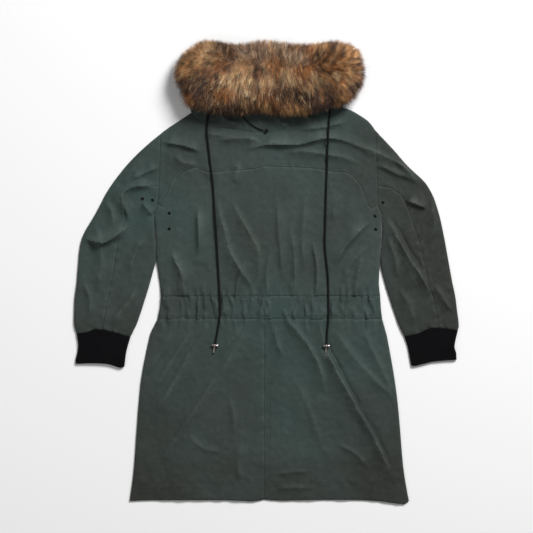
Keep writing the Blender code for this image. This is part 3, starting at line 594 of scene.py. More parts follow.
@dataclass
class Rim:
    """The outline of a cut piece, seen from above and going round anticlockwise."""

    points: np.ndarray
    rolled: np.ndarray  # for each point, whether the edge that starts there turns under

    @classmethod
    def of_node(cls, name: str, pitch: float, floor: float = 3.5) -> Rim:
        """Reads the outline of a node's upper face and smooths its curves.

        Args:
            name: the node.
            pitch: the spacing of the outline's points.
            floor: the height that the whole of the upper face is above.

        Returns:
            The outline.
        """
        places, triangles = welded(frame["nodes"][name])
        corners = places[triangles]
        normals = np.cross(corners[:, 1] - corners[:, 0], corners[:, 2] - corners[:, 0])
        normals /= np.maximum(np.linalg.norm(normals, axis=1), 1e-9)[:, None]
        upper = triangles[(normals[:, 2] > 0.01) & (corners[:, :, 2].min(axis=1) > floor)]
        edges = {(int(a), int(b)) for t in upper for a, b in ((t[0], t[1]), (t[1], t[2]), (t[2], t[0]))}
        following = {a: b for a, b in edges if (b, a) not in edges}
        loops = []
        while following:
            start, corner = following.popitem()
            loop = [start]
            while corner in following:
                loop.append(corner)
                corner = following.pop(corner)
            loops.append(loop)
        loop = max(loops, key=len)
        outline = places[loop]
        low = outline[:, 2] < 4.2
        rolled = low & np.roll(low, -1) if floor > 3 else np.zeros(len(outline), bool)
        return cls(outline[:, :2], rolled).plain().smooth(pitch)

    def turns(self) -> np.ndarray:
        """The angle in degrees by which the outline turns at each point."""
        ahead = np.roll(self.points, -1, axis=0) - self.points
        behind = self.points - np.roll(self.points, 1, axis=0)
        cross = behind[:, 0] * ahead[:, 1] - behind[:, 1] * ahead[:, 0]
        return np.degrees(np.arctan2(cross, (behind * ahead).sum(axis=1)))

    def plain(self) -> Rim:
        """The outline without the points that lie on a straight run."""
        kept = (np.abs(self.turns()) > 0.4) | (self.rolled != np.roll(self.rolled, 1))
        return Rim(self.points[kept], self.rolled[kept])

    def smooth(self, pitch: float) -> Rim:
        """The outline as smooth curves between its corners, with points a pitch apart.

        Args:
            pitch: the spacing of the points.

        Returns:
            The new outline.
        """
        corner = (np.abs(self.turns()) > 24) | (self.rolled != np.roll(self.rolled, 1))
        starts = np.flatnonzero(corner)
        points, rolled = [], []
        for start, stop in zip(starts, np.append(starts[1:], starts[0] + len(self.points))):
            index = np.arange(start, stop + 1) % len(self.points)
            line = curved(self.points[index], 3)
            length = lengths_along(line)[-1]
            count = max(1, round(length / pitch))
            stretch = at_lengths(line, np.linspace(0, length, count + 1))[:-1]
            points.append(stretch)
            rolled.append(np.full(len(stretch), self.rolled[start]))
        return Rim(np.vstack(points), np.concatenate(rolled))

    def inward(self) -> np.ndarray:
        """The direction at each point that leads into the piece."""
        ahead = np.roll(self.points, -1, axis=0) - np.roll(self.points, 1, axis=0)
        ahead /= np.maximum(np.linalg.norm(ahead, axis=1), 1e-9)[:, None]
        return np.column_stack((-ahead[:, 1], ahead[:, 0]))

    def grown(self, by: float) -> Rim:
        """The outline moved outward, which closes the gap of a seam."""
        return Rim(self.points - self.inward() * by, self.rolled)

    def wavered(self, height: float, size: float) -> Rim:
        """The outline with its rolled edges drawn in a little, unevenly.

        Args:
            height: the most that it is drawn in.
            size: the length of its waves.

        Returns:
            The new outline.
        """
        held = self.rolled & np.roll(self.rolled, 1)
        for _ in range(3):
            held = held & np.roll(held, 1) & np.roll(held, -1)
        drawn = height * (0.5 + 0.5 * noise(self.points, size, 9)) * held
        return Rim(self.points + self.inward() * drawn[:, None], self.rolled)

    def away(self, points: np.ndarray, rolled: bool) -> np.ndarray:
        """The distance of places from the edges of one kind.

        Args:
            points: rows of x and y.
            rolled: true for the rolled edges, false for the cut and sewn ones.

        Returns:
            One distance for each row.
        """
        picked = self.rolled if rolled else ~self.rolled
        found = np.full(len(points), 1e9)
        starts, ends = self.points[picked], np.roll(self.points, -1, axis=0)[picked]
        for a, b in zip(starts, ends):
            line = b - a
            offset = points - a
            share = np.clip(offset @ line / (line @ line), 0, 1)
            found = np.minimum(found, np.hypot(*(offset - share[:, None] * line).T))
        return found

    def holds(self, points: np.ndarray) -> np.ndarray:
        """Whether each place is inside the outline.

        Args:
            points: rows of x and y.

        Returns:
            True or false for each row.
        """
        inside = np.zeros(len(points), bool)
        x, y = points.T
        for (ax, ay), (bx, by) in zip(self.points, np.roll(self.points, -1, axis=0)):
            if ay != by:
                crosses = ((ay > y) != (by > y)) & (x < (bx - ax) * (y - ay) / (by - ay) + ax)
                inside ^= crosses
        return inside

    def filled(self, cell: float, insets: tuple[float, ...] = ()) -> tuple[np.ndarray, np.ndarray]:
        """Triangles that fill the outline.

        Args:
            cell: the size of the triangles inside.
            insets: how far in from the outline the extra rows of points are.

        Returns:
            The places, with the outline's own points first, and the triangles' corners.
        """
        low, high = self.points.min(axis=0), self.points.max(axis=0)
        grid_x, grid_y = np.meshgrid(
            np.arange(low[0], high[0] + cell, cell), np.arange(low[1], high[1] + cell, cell * 0.866)
        )
        grid_x = grid_x + (np.arange(len(grid_x)) % 2)[:, None] * cell / 2
        inner = np.column_stack((grid_x.ravel(), grid_y.ravel()))
        inner = inner[self.holds(inner)]
        edge = np.minimum(self.away(inner, True), self.away(inner, False))
        last = insets[-1] if insets else 0.0
        chosen = [inner[edge > last + 0.55 * cell]]
        for inset in insets:
            row = self.points + self.inward() * inset
            row = row[self.holds(row)]
            gap = np.minimum(self.away(row, True), self.away(row, False))
            chosen.append(row[gap > 0.93 * inset])
        places = np.vstack((self.points, *chosen))
        count = len(self.points)
        outline = [(i, (i + 1) % count) for i in range(count)]
        made = delaunay_2d_cdt([Vector(p) for p in places], outline, [list(range(count))], 1, 1e-4)
        if not all(made[3]):
            raise ValueError("the outline crosses itself")
        source = [origin[0] for origin in made[3]]
        triangles = np.array([[source[i] for i in face] for face in made[2] if len(face) == 3])
        a, b, c = (places[triangles[:, k]] for k in range(3))
        turn = (b - a)[:, 0] * (c - a)[:, 1] - (b - a)[:, 1] * (c - a)[:, 0]
        triangles[turn < 0] = triangles[turn < 0][:, ::-1]
        return places, triangles


@dataclass
class Shell:
    """Walls of one piece of cloth, gathered as layers that share the points of an outline."""

    places: list = field(default_factory=list)
    faces: list = field(default_factory=list)
    starts: list = field(default_factory=list)

    def add_layer(self, points: np.ndarray, heights: np.ndarray, triangles: np.ndarray, up: bool) -> None:
        """Adds one face of the cloth, facing up or down.

        Args:
            points: rows of x and y.
            heights: the height of each row.
            triangles: the corners of the faces.
            up: whether the faces look up.
        """
        start = sum(len(p) for p in self.places)
        self.starts.append(start)
        self.places.append(np.column_stack((points, heights)))
        turned = triangles if up else triangles[:, ::-1]
        self.faces += (turned + start).tolist()

    def add_wall(self, high: int, low: int, edges: np.ndarray, count: int, flip: bool = False) -> None:
        """Joins two layers along these edges of their outline."""
        top, base = self.starts[high], self.starts[low]
        for i in edges:
            j = (i + 1) % count
            quad = (top + j, top + i, base + i, base + j)
            self.faces.append(tuple(int(k) for k in (quad[::-1] if flip else quad)))


@dataclass
class ClothPiece:
    """One cut piece of the shell cloth, as a thin wall with its creases."""

    node: str
    region: Region = Region.BODY
    tube: bool = False
    held: str = "laid"
    cell: float = 3.6  # triangles of the outer face
    coarse: float = 13.0  # triangles of the faces that don't show
    roll_top: float = 3.7  # height of the outer face at a rolled edge
    roll_reach: float = 9.0
    roll_low: float = 2.4
    roll_inset: float = 1.8
    groove: float = 1.5  # depth of the dip at a seam
    gap: float = 0.17  # half of the space that a seam leaves
    insets: tuple[float, ...] = (1.1, 2.6, 4.6)  # extra rows of points beside the outline

    def height(self, rim: Rim, relief: Relief, points: np.ndarray) -> np.ndarray:
        """The height of the outer face, which rounds over at rolled edges and dips at seams.

        Args:
            rim: the outline of the piece.
            relief: the creases.
            points: rows of x and y.

        Returns:
            One height for each row, in millimetres.
        """
        high = relief.at(points, self.region)
        away = rim.away(points, False)
        high = high - self.groove * bell(away, 1.9)
        share = np.clip(rim.away(points, True) / self.roll_reach, 0, 1)
        return self.roll_top + (high - self.roll_top) * rounded(share)

    def wear_and_highlight(self, rim: Rim, relief: Relief, points: np.ndarray, high: np.ndarray) -> np.ndarray:
        """How light the cloth is made at each place: real wear at seams, and on crease ridges and rolled
        edges a lightening that is partly wear and partly painted highlight.

        Args:
            rim: the outline of the piece.
            relief: the creases.
            points: rows of x and y.
            high: the height of the outer face at each row.

        Returns:
            From 0 to 1 for each row.
        """
        plain = BACK_TOP + relief.swell * noise(points, 88, 1)
        # crease ridges lighten: partly real fading, partly painted highlight on the crease tops
        ridge = np.clip((high - plain - 1.6) / 6.0, 0, 1)
        seam = 0.8 * bell(rim.away(points, False) - 2.6, 2.0)
        # rolled edges lighten: partly worn edges, partly painted highlight on the rounded fold
        edge = 0.8 * bell(rim.away(points, True), 2.5)
        blotch = 0.6 + 0.5 * noise(points, 37, 12) + 0.3 * noise(points, 9, 13)
        return np.clip((0.4 * ridge + 0.16 * seam + 0.4 * edge) * blotch, 0, 1)

    def tone(self, points: np.ndarray) -> np.ndarray:
        """How far the dye has turned to olive brown at each place.

        Args:
            points: rows of x and y.

        Returns:
            From 0 to 1 for each row.
        """
        x, y = points.T
        if self.region is Region.RIGHT_ARM:
            brown = 0.5 + 0.45 * eased((x - 272) / 80)
        elif self.region is Region.LEFT_ARM:
            brown = 0.1 + 0.5 * eased((-60 - y) / 90)
        else:
            skirt_sides = 0.5 * eased((-150 - y) / 260) * eased((np.abs(x) - 120) / 130)
            hem = 0.45 * eased((-440 - y) / 60)
            right_shoulder = 0.4 * eased((x - 130) / 130) * eased((y - 60) / 120)
            brown = skirt_sides + hem + right_shoulder
        return np.clip(brown + 0.25 * noise(points, 70, 21), 0, 1)

    def make(self, relief: Relief, finish: bpy.types.Material) -> bpy.types.Object:
        """Builds the piece and lets it stand for its node.

        Args:
            relief: the creases.
            finish: the material it wears.

        Returns:
            The piece.
        """
        rim = Rim.of_node(self.node, self.cell).grown(self.gap).wavered(0.9, 34)
        fine, fine_faces = rim.filled(self.cell, self.insets)
        count = len(rim.points)
        top = self.height(rim, relief, fine)
        # worn holds wear plus painted highlight on crease ridges and rolled edges
        worn = self.wear_and_highlight(rim, relief, fine, top)
        shell = Shell()
        shell.add_layer(fine, top, fine_faces, True)
        rolled_point = rim.rolled | np.roll(rim.rolled, 1)
        inner_rim = rim
        if self.tube:
            drawn = rim.inward() * self.roll_inset * rolled_point[:, None]
            inner_rim = Rim(rim.points + drawn, rim.rolled)
        coarse, coarse_faces = inner_rim.filled(self.coarse)
        under = self.under(rim, relief, coarse, top[:count], rolled_point)
        shell.add_layer(coarse, under, coarse_faces, False)
        edges = np.arange(count)
        if not self.tube:
            shell.add_wall(0, 1, edges, count)
        else:
            self.close_tube(shell, rim, coarse, coarse_faces, rolled_point, count)
        places = np.vstack(shell.places)
        made = mesh_piece(self.node, places, shell.faces, finish)
        made.name = f"{self.node}_cloth"
        # the stored value is wear plus painted highlight
        store(made, "wear_and_highlight", np.concatenate((worn, np.zeros(len(places) - len(worn)))))
        store(made, "olive", self.tone(places[:, :2]))
        settle(made, (self.node,))
        return made

    def under(
        self, rim: Rim, relief: Relief, points: np.ndarray, rim_top: np.ndarray, rolled: np.ndarray
    ) -> np.ndarray:
        """The height of the inner face of the upper wall.

        Args:
            rim: the outline of the piece.
            relief: the creases.
            points: rows of x and y.
            rim_top: the height of the outer face at the outline.
            rolled: whether each of the outline's points is on a rolled edge.

        Returns:
            One height for each row, in millimetres.
        """
        raised = np.clip(relief.at(points, self.region) - BACK_TOP - 1.0, 0, None)
        low = BACK_TOP - CLOTH + 0.85 * raised
        share = np.clip(rim.away(points, True) / self.roll_reach, 0, 1)
        edge = 2.8 if self.tube else self.roll_low
        low = edge + (low - edge) * rounded(share)
        count = len(rim_top)
        low[:count] = np.where(rolled, edge, np.minimum(low[:count], rim_top - 1.2))
        return low

    def close_tube(
        self, shell: Shell, rim: Rim, inner: np.ndarray, inner_faces: np.ndarray,
        rolled: np.ndarray, count: int,
    ) -> None:
        """Adds the lower wall and joins it to the upper one at the rolled edges.

        Args:
            shell: the walls so far.
            rim: the outline of the piece.
            inner: the places of the inner face.
            inner_faces: the inner face's triangles.
            rolled: whether each of the outline's points is on a rolled edge.
            count: how many points the outline has.
        """
        inside = np.where(rolled, 1.9, CLOTH)
        low = np.full(len(inner), CLOTH)
        low[:count] = inside
        shell.add_layer(inner, low, inner_faces, True)
        outer, outer_faces = rim.filled(self.coarse)
        base = np.zeros(len(outer))
        base[:count] = np.where(rolled, 1.0, 0.0)
        shell.add_layer(outer, base, outer_faces, False)
        turned = np.flatnonzero(rim.rolled)
        opened = np.flatnonzero(~rim.rolled)
        shell.add_wall(0, 3, turned, count)
        shell.add_wall(1, 2, turned, count, flip=True)
        shell.add_wall(0, 1, opened, count)
        shell.add_wall(2, 3, opened, count)
        for i in np.flatnonzero(rim.rolled != np.roll(rim.rolled, 1)):
            corners = [start + int(i) for start in shell.starts]
            shell.faces.append(tuple(corners[::-1] if rim.rolled[i] else corners))


@dataclass
class GroundPiece:
    """A front of the coat, or its placket, which lies flat on the ground below the back."""

    node: str
    cell: float = 22.0
    floor: float = 1.5

    def make(self, finish: bpy.types.Material) -> bpy.types.Object:
        """Builds the piece and lets it stand for its node.

        Args:
            finish: the material it wears.

        Returns:
            The piece.
        """
        low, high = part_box(self.node)
        rim = Rim.of_node(self.node, self.cell, self.floor)
        points, triangles = rim.filled(self.cell)
        shell = Shell()
        shell.add_layer(points, np.full(len(points), high.z / MM - 0.1), triangles, True)
        shell.add_layer(points, np.full(len(points), low.z / MM), triangles, False)
        shell.add_wall(0, 1, np.arange(len(rim.points)), len(rim.points))
        made = mesh_piece(f"{self.node}_cloth", np.vstack(shell.places), shell.faces, finish)
        store(made, "wear_and_highlight", np.zeros(len(made.data.vertices)))
        settle(made, (self.node,))
        return made


# ---------------------------------------------------------------- finishes


def linear(colour: Colour) -> tuple[float, float, float, float]:
    """A display colour from 0 to 255 as the linear colour that a shader takes.

    Args:
        colour: red, green and blue.

    Returns:
        Red, green, blue and an alpha of 1.
    """
    parts = [part / 255 for part in colour]
    held = [part / 12.92 if part <= 0.04045 else ((part + 0.055) / 1.055) ** 2.4 for part in parts]
    return (*held, 1.0)


class Shader:
    """A material whose nodes are added one at a time."""

    def __init__(self, name: str, **sockets: float) -> None:
        """Starts a material and sets the plain values of its surface.

        Args:
            name: the finish's name.
            sockets: values for the surface's own sockets, with underscores for spaces.
        """
        self.made = bpy.data.materials.new(name)
        self.made.use_nodes = True
        self.tree = self.made.node_tree
        self.surface = self.tree.nodes["Principled BSDF"]
        for socket, value in sockets.items():
            self.surface.inputs[socket.replace("_", " ")].default_value = value

    def node(self, kind: str, sockets: dict | None = None, **settings: object) -> bpy.types.Node:
        """Adds a node; a socket given another node's output is linked to it.

        Args:
            kind: the type of the node.
            sockets: a value or an output for each input.
            settings: the node's own settings.

        Returns:
            The node.
        """
        made = self.tree.nodes.new(kind)
        for key, value in settings.items():
            setattr(made, key, value)
        for key, value in (sockets or {}).items():
            if isinstance(value, bpy.types.NodeSocket):
                self.tree.links.new(value, made.inputs[key])
            else:
                made.inputs[key].default_value = value
        return made

    def place(self) -> bpy.types.NodeSocket:
        """The place on the piece, in metres."""
        return self.node("ShaderNodeTexCoord").outputs["Object"]

    def stretched(self, scale: tuple[float, float, float], turn: float = 0.0) -> bpy.types.NodeSocket:
        """The place scaled along each axis after a turn about the upright one.

        Args:
            scale: the scale along x, y and z.
            turn: the turn in radians.

        Returns:
            The new place.
        """
        sockets = {"Vector": self.place(), "Rotation": (0, 0, turn)}
        place = self.node("ShaderNodeMapping", sockets).outputs[0]
        return self.node("ShaderNodeMapping", {"Vector": place, "Scale": scale}).outputs[0]

    def noise(self, vector: bpy.types.NodeSocket, scale: float, detail: float = 3.0) -> bpy.types.NodeSocket:
        """Smooth noise from 0 to 1."""
        sockets = {"Vector": vector, "Scale": scale, "Detail": detail}
        return self.node("ShaderNodeTexNoise", sockets).outputs[0]

    def reading(self, name: str) -> bpy.types.NodeSocket:
        """The number that the piece keeps under this name."""
        return self.node("ShaderNodeAttribute", attribute_name=name).outputs["Fac"]

    def spread(self, value: bpy.types.NodeSocket, low: float, high: float) -> bpy.types.NodeSocket:
        """The value with low to high spread over 0 to 1."""
        return self.node("ShaderNodeMapRange", {0: value, 1: low, 2: high}).outputs[0]

    def mix(self, share: object, first: object, second: object, blend: str = "MIX") -> bpy.types.NodeSocket:
        """A colour between two colours."""
        sockets = {0: share, 6: first, 7: second}
        return self.node("ShaderNodeMix", sockets, data_type="RGBA", blend_type=blend).outputs[2]

    def blend(self, share: object, first: Colour, second: Colour) -> bpy.types.NodeSocket:
        """A colour between two display colours."""
        return self.mix(share, linear(first), linear(second))

    def maths(self, kind: str, first: object, second: object) -> bpy.types.NodeSocket:
        """Arithmetic on two numbers."""
        return self.node("ShaderNodeMath", {0: first, 1: second}, operation=kind).outputs[0]

    def bump(self, height: bpy.types.NodeSocket, distance: float, strength: float = 1.0) -> None:
        """Raises the surface by this height, which is spread over distance in metres."""
        sockets = {"Height": height, "Distance": distance, "Strength": strength}
        self.tree.links.new(self.node("ShaderNodeBump", sockets).outputs[0], self.surface.inputs["Normal"])

    def colour(self, value: bpy.types.NodeSocket) -> None:
        """Sets the surface's colour."""
        self.tree.links.new(value, self.surface.inputs["Base Color"])


@dataclass(frozen=True)
class ShellFinish:
    """Washed cotton canvas in dark green grey, faded along its seams and lighter on its ridges and rolled
    edges, partly from wear and partly as painted highlight.
    """

    deep: Colour = (48, 57, 53)
    plain: Colour = (56, 67, 64)
    cool: Colour = (44, 66, 63)
    olive: Colour = (41, 44, 39)
    # faded tone of real worn spots, also the colour of the painted highlight on ridges and rolled edges
    worn: Colour = (98, 108, 101)
    yarn: float = 1500.0

    def material(self) -> bpy.types.Material:
        """The material of the shell cloth."""
        made = Shader(
            "washed_canvas", Roughness=0.78, Specular_IOR_Level=0.3, Sheen_Weight=0.04, Sheen_Roughness=0.5
        )
        place = made.place()
        cloud = made.spread(made.noise(place, 5.0, 4), 0.32, 0.68)
        base = made.blend(cloud, self.deep, self.plain)
        cool = made.maths("MULTIPLY", made.spread(made.noise(place, 2.6, 3), 0.46, 0.66), 0.6)
        base = made.mix(cool, base, linear(self.cool))
        base = made.mix(made.reading("olive"), base, linear(self.olive))
        chalk = made.maths("MULTIPLY", made.spread(made.noise(place, 90, 5), 0.4, 0.8), 0.07)
        base = made.mix(chalk, base, linear(self.worn))
        # lightens in patches where the stored wear and painted highlight are
        patchy = made.spread(made.noise(place, 140, 3), 0.2, 0.75)
        rubbed_and_highlit = made.maths("MULTIPLY", made.reading("wear_and_highlight"), patchy)
        base = made.mix(rubbed_and_highlit, base, linear(self.worn))
        warp = made.noise(made.stretched((1, 0.16, 1)), self.yarn, 2)
        weft = made.noise(made.stretched((0.16, 1, 1)), self.yarn, 2)
        yarns = made.maths("ADD", warp, weft)
        shade = made.spread(yarns, 0.6, 1.4)
        base = made.mix(0.3, base, shade, "OVERLAY")
        made.colour(base)
        made.bump(yarns, 0.0003, 0.5)
        return made.made


@dataclass(frozen=True)
class KnitFinish:
    """Black wool rib."""

    dark: Colour = (5, 4, 6)
    light: Colour = (17, 15, 18)

    def material(self) -> bpy.types.Material:
        """The material of the cuffs."""
        made = Shader(
            "black_rib", Roughness=0.95, Specular_IOR_Level=0.08, Sheen_Weight=0.02, Sheen_Roughness=0.6
        )
        place = made.place()
        fluff = made.noise(place, 700, 3)
        made.colour(made.blend(made.spread(fluff, 0.3, 0.75), self.dark, self.light))
        loops = made.noise(made.stretched((0.6, 1.6, 1)), 520, 2)
        made.bump(loops, 0.0006, 0.7)
        return made.made


@dataclass(frozen=True)
class CordFinish:
    """Black braided cord."""

    dark: Colour = (8, 8, 10)
    light: Colour = (24, 24, 28)

    def material(self) -> bpy.types.Material:
        """The material of the drawcords."""
        made = Shader("black_braid", Roughness=0.75, Specular_IOR_Level=0.2)
        strands = []
        for turn in (0.7, -0.7):
            sockets = {"Vector": made.stretched((1, 1, 1), turn), "Scale": 260.0}
            strands.append(made.node("ShaderNodeTexWave", sockets, wave_type="BANDS").outputs[1])
        braid = made.maths("MULTIPLY", *strands)
        made.colour(made.blend(made.spread(braid, 0.05, 0.8), self.dark, self.light))
        made.bump(braid, 0.0004, 0.8)
        return made.made


@dataclass(frozen=True)
class MetalFinish:
    """Cast metal with a little tarnish."""

    name: str
    clean: Colour
    dull: Colour
    roughness: float

    def material(self) -> bpy.types.Material:
        """The material of a metal fitting."""
        made = Shader(self.name, Metallic=1.0, Roughness=self.roughness)
        grain = made.noise(made.place(), 420, 4)
        made.colour(made.blend(made.spread(grain, 0.35, 0.7), self.dull, self.clean))
        made.bump(grain, 0.0001, 0.5)
        return made.made


@dataclass(frozen=True)
class ThreadFinish:
    """Sewing thread, faded against the cloth."""

    name: str
    dark: Colour
    light: Colour

    def material(self) -> bpy.types.Material:
        """The material of a line of stitches."""
        made = Shader(self.name, Roughness=0.75, Specular_IOR_Level=0.3)
        faded = made.spread(made.noise(made.place(), 90, 4), 0.35, 0.65)
        made.colour(made.blend(faded, self.dark, self.light))
        return made.made


@dataclass(frozen=True)
class HairFinish:
    """Fur hair in the colours that each hair keeps."""

    name: str = "long_fur"

    def material(self) -> bpy.types.Material:
        """The material of the long hair."""
        made = Shader(self.name, Roughness=0.55, Specular_IOR_Level=0.35, Sheen_Weight=0.1)
        tint = made.node("ShaderNodeAttribute", attribute_name="tint").outputs["Color"]
        streak = made.spread(made.noise(made.place(), 1600, 2), 0.3, 0.7)
        made.colour(made.mix(0.35, tint, streak, "OVERLAY"))
        return made.made


@dataclass(frozen=True)
class SkinFinish:
    """The dense dark underfur between the long hairs."""

    dark: Colour = (30, 19, 13)
    light: Colour = (86, 56, 34)

    def material(self) -> bpy.types.Material:
        """The material of the underfur."""
        made = Shader("underfur", Roughness=0.9, Specular_IOR_Level=0.15)
        wool = made.noise(made.place(), 330, 4)
        made.colour(made.blend(made.spread(wool, 0.35, 0.7), self.dark, self.light))
        made.bump(wool, 0.003, 0.9)
        return made.made


@dataclass(frozen=True)
class FloorFinish:
    """Plain pale backing paper."""

    pale: Colour = (250, 250, 250)
    shade: Colour = (246, 246, 246)

    def material(self) -> bpy.types.Material:
        """The material of the floor."""
        made = Shader("pale_paper", Roughness=0.95, Specular_IOR_Level=0.1)
        tooth = made.noise(made.place(), 260, 3)
        made.colour(made.blend(tooth, self.pale, self.shade))
        made.bump(tooth, 0.0002, 0.2)
        return made.made


# ---------------------------------------------------------------- drawcords


@dataclass
class Drawcord:
    """A round cord that comes out from under the fur and lies down the back, with its metal end."""

    side: str
    route: Route
    relief: Relief
    diameter: float = 4.5
    clear: float = 0.4
    step: float = 5.0
    lock: tuple[tuple[float, float], ...] = (
        (0.0, -8.2), (2.2, -8.2), (3.4, -7.6), (3.9, -6.4), (3.9, -3.4), (3.3, -2.9), (3.3, -2.2),
        (4.1, -1.6), (4.1, 1.6), (3.3, 2.2), (3.3, 2.9), (3.9, 3.4), (3.9, 6.4), (3.4, 7.6), (2.2, 8.2),
        (0.0, 8.2),
    )
    tip: tuple[tuple[float, float], ...] = (
        (0.0, 0.0), (2.0, 0.0), (2.5, 0.7), (2.5, 2.6), (2.0, 3.0), (2.0, 3.6), (2.5, 4.1), (2.4, 12.6),
        (1.9, 14.4), (0.9, 15.0), (0.0, 15.0),
    )

    def line(self) -> np.ndarray:
        """The centre line of the cord, which lies on the cloth all along."""
        flat = curved(rows(self.route), 2)
        count = round(lengths_along(flat)[-1] / self.step)
        flat = at_lengths(flat, np.linspace(0, lengths_along(flat)[-1], count + 1))
        height = np.zeros(len(flat))
        for offset in (-2.2, 0.0, 2.2):
            for along in (-2.5, 0.0, 2.5):
                height = np.maximum(height, self.relief.at(flat + (offset, along), Region.BODY))
        height = np.max([np.roll(height, k) for k in (-1, 0, 1)], axis=0)
        height[0], height[-1] = height[1], height[-2]
        return np.column_stack((flat, height + self.diameter / 2 + self.clear))

    def make(self, braid: bpy.types.Material, metal: bpy.types.Material) -> bpy.types.Object:
        """Args:
            braid: the cord's material.
            metal: the material of its end.

        Returns:
            The cord.
        """
        line = self.line()
        cord = round_cord(f"drawcord_{self.side}", line, self.diameter, braid)
        settle(cord, (f"cord_{self.side}",))
        heading = line[-1] - line[-3]
        heading[2] = 0
        heading /= np.linalg.norm(heading)
        crosswise = np.array([-heading[1], heading[0], 0])
        lock_at = middle_of(f"cord_lock_{self.side}")
        lock = turned(f"drawcord_lock_{self.side}", self.lock, lock_at, crosswise, metal)
        settle(lock, (f"cord_lock_{self.side}",))
        tip_at = middle_of(f"cord_tip_{self.side}") - heading * 7.5
        tip = turned(f"drawcord_tip_{self.side}", self.tip, tip_at, heading, metal)
        settle(tip, (f"cord_tip_{self.side}",))
        return cord


def round_cord(name: str, line: np.ndarray, diameter: float, finish: bpy.types.Material) -> bpy.types.Object:
    """A round cord along a line of places in millimetres.

    Args:
        name: the name of the cord.
        line: rows of x, y and z.
        diameter: its thickness.
        finish: its material.

    Returns:
        The cord.
    """
    curve = bpy.data.curves.new(name, "CURVE")
    curve.dimensions = "3D"
    curve.bevel_depth = diameter / 2 * MM
    curve.bevel_resolution = 4
    curve.use_fill_caps = True
    curve.materials.append(finish)
    spline = curve.splines.new("POLY")
    spline.points.add(len(line) - 1)
    spline.points.foreach_set("co", np.column_stack((line * MM, np.ones(len(line)))).ravel())
    spline.use_smooth = True
    return added(name, curve)


def middle_of(node: str) -> np.ndarray:
    """The middle of a node's box, in millimetres."""
    low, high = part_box(node)
    return np.array((low + high) / 2) / MM


def turned(
    name: str, profile: tuple, place: np.ndarray, axis: np.ndarray,
    finish: bpy.types.Material, sides: int = 32,
) -> bpy.types.Object:
    """A piece turned from rows of radius and distance about an axis through a place.

    Args:
        name: the piece's name.
        profile: rows of radius and distance along the axis; a radius of 0 closes the end.
        place: where distance 0 is, in millimetres.
        axis: the direction of the axis.
        finish: its material.
        sides: how many sides the turning has.

    Returns:
        The piece.
    """
    axis = np.asarray(axis, float)
    across = np.cross((0, 0, 1), axis)
    across = across / np.linalg.norm(across) if np.linalg.norm(across) > 0.1 else np.array([1.0, 0, 0])
    up = np.cross(axis, across)
    angle = np.arange(sides) * 2 * math.pi / sides
    ring = np.cos(angle)[:, None] * across + np.sin(angle)[:, None] * up
    places, faces, starts = [], [], []
    for radius, distance in profile:
        starts.append(sum(len(p) for p in places))
        base = np.asarray(place) + axis * distance
        places.append(base + ring * radius if radius else base[None, :])
    for (low, low_row), (high, high_row) in zip(zip(starts, places), zip(starts[1:], places[1:])):
        for i in range(sides):
            j = (i + 1) % sides
            if len(low_row) == 1:
                faces.append((low, high + j, high + i))
            elif len(high_row) == 1:
                faces.append((low + i, low + j, high))
            else:
                faces.append((low + i, low + j, high + j, high + i))
    return mesh_piece(name, np.vstack(places), faces, finish, 30)


@dataclass
class Adjuster:
    """The short doubled cord at the back of the hood and the round stop it runs through."""

    relief: Relief
    route: Route = ((-66, 392), (-48, 374), (-24, 358), (-6.5, 351.5))
    diameter: float = 2.6
    stop: tuple[tuple[float, float], ...] = (
        (0.0, -2.6), (3.0, -2.6), (4.2, -1.6), (4.4, 0.6), (3.8, 2.2), (2.4, 3.0), (1.0, 2.7), (0.0, 2.6),
    )

    def make(self, braid: bpy.types.Material, metal: bpy.types.Material) -> bpy.types.Object:
        """Builds the cord and its stop.

        Args:
            braid: the cord's material.
            metal: the stop's material.

        Returns:
            The cord.
        """
        flat = curved(rows(self.route), 3)
        height = self.relief.at(flat, Region.BODY) + self.diameter / 2 + 1.3
        line = np.column_stack((flat, height))
        cord = round_cord("hood_adjuster", line, self.diameter, braid)
        settle(cord, ("hood_adjuster_cord",))
        stop = turned("hood_adjuster_button", self.stop, middle_of("hood_adjuster_stop"), (0, 0, 1), metal)
        settle(stop, ("hood_adjuster_stop",))
        return cord


# ---------------------------------------------------------------- knitted cuffs


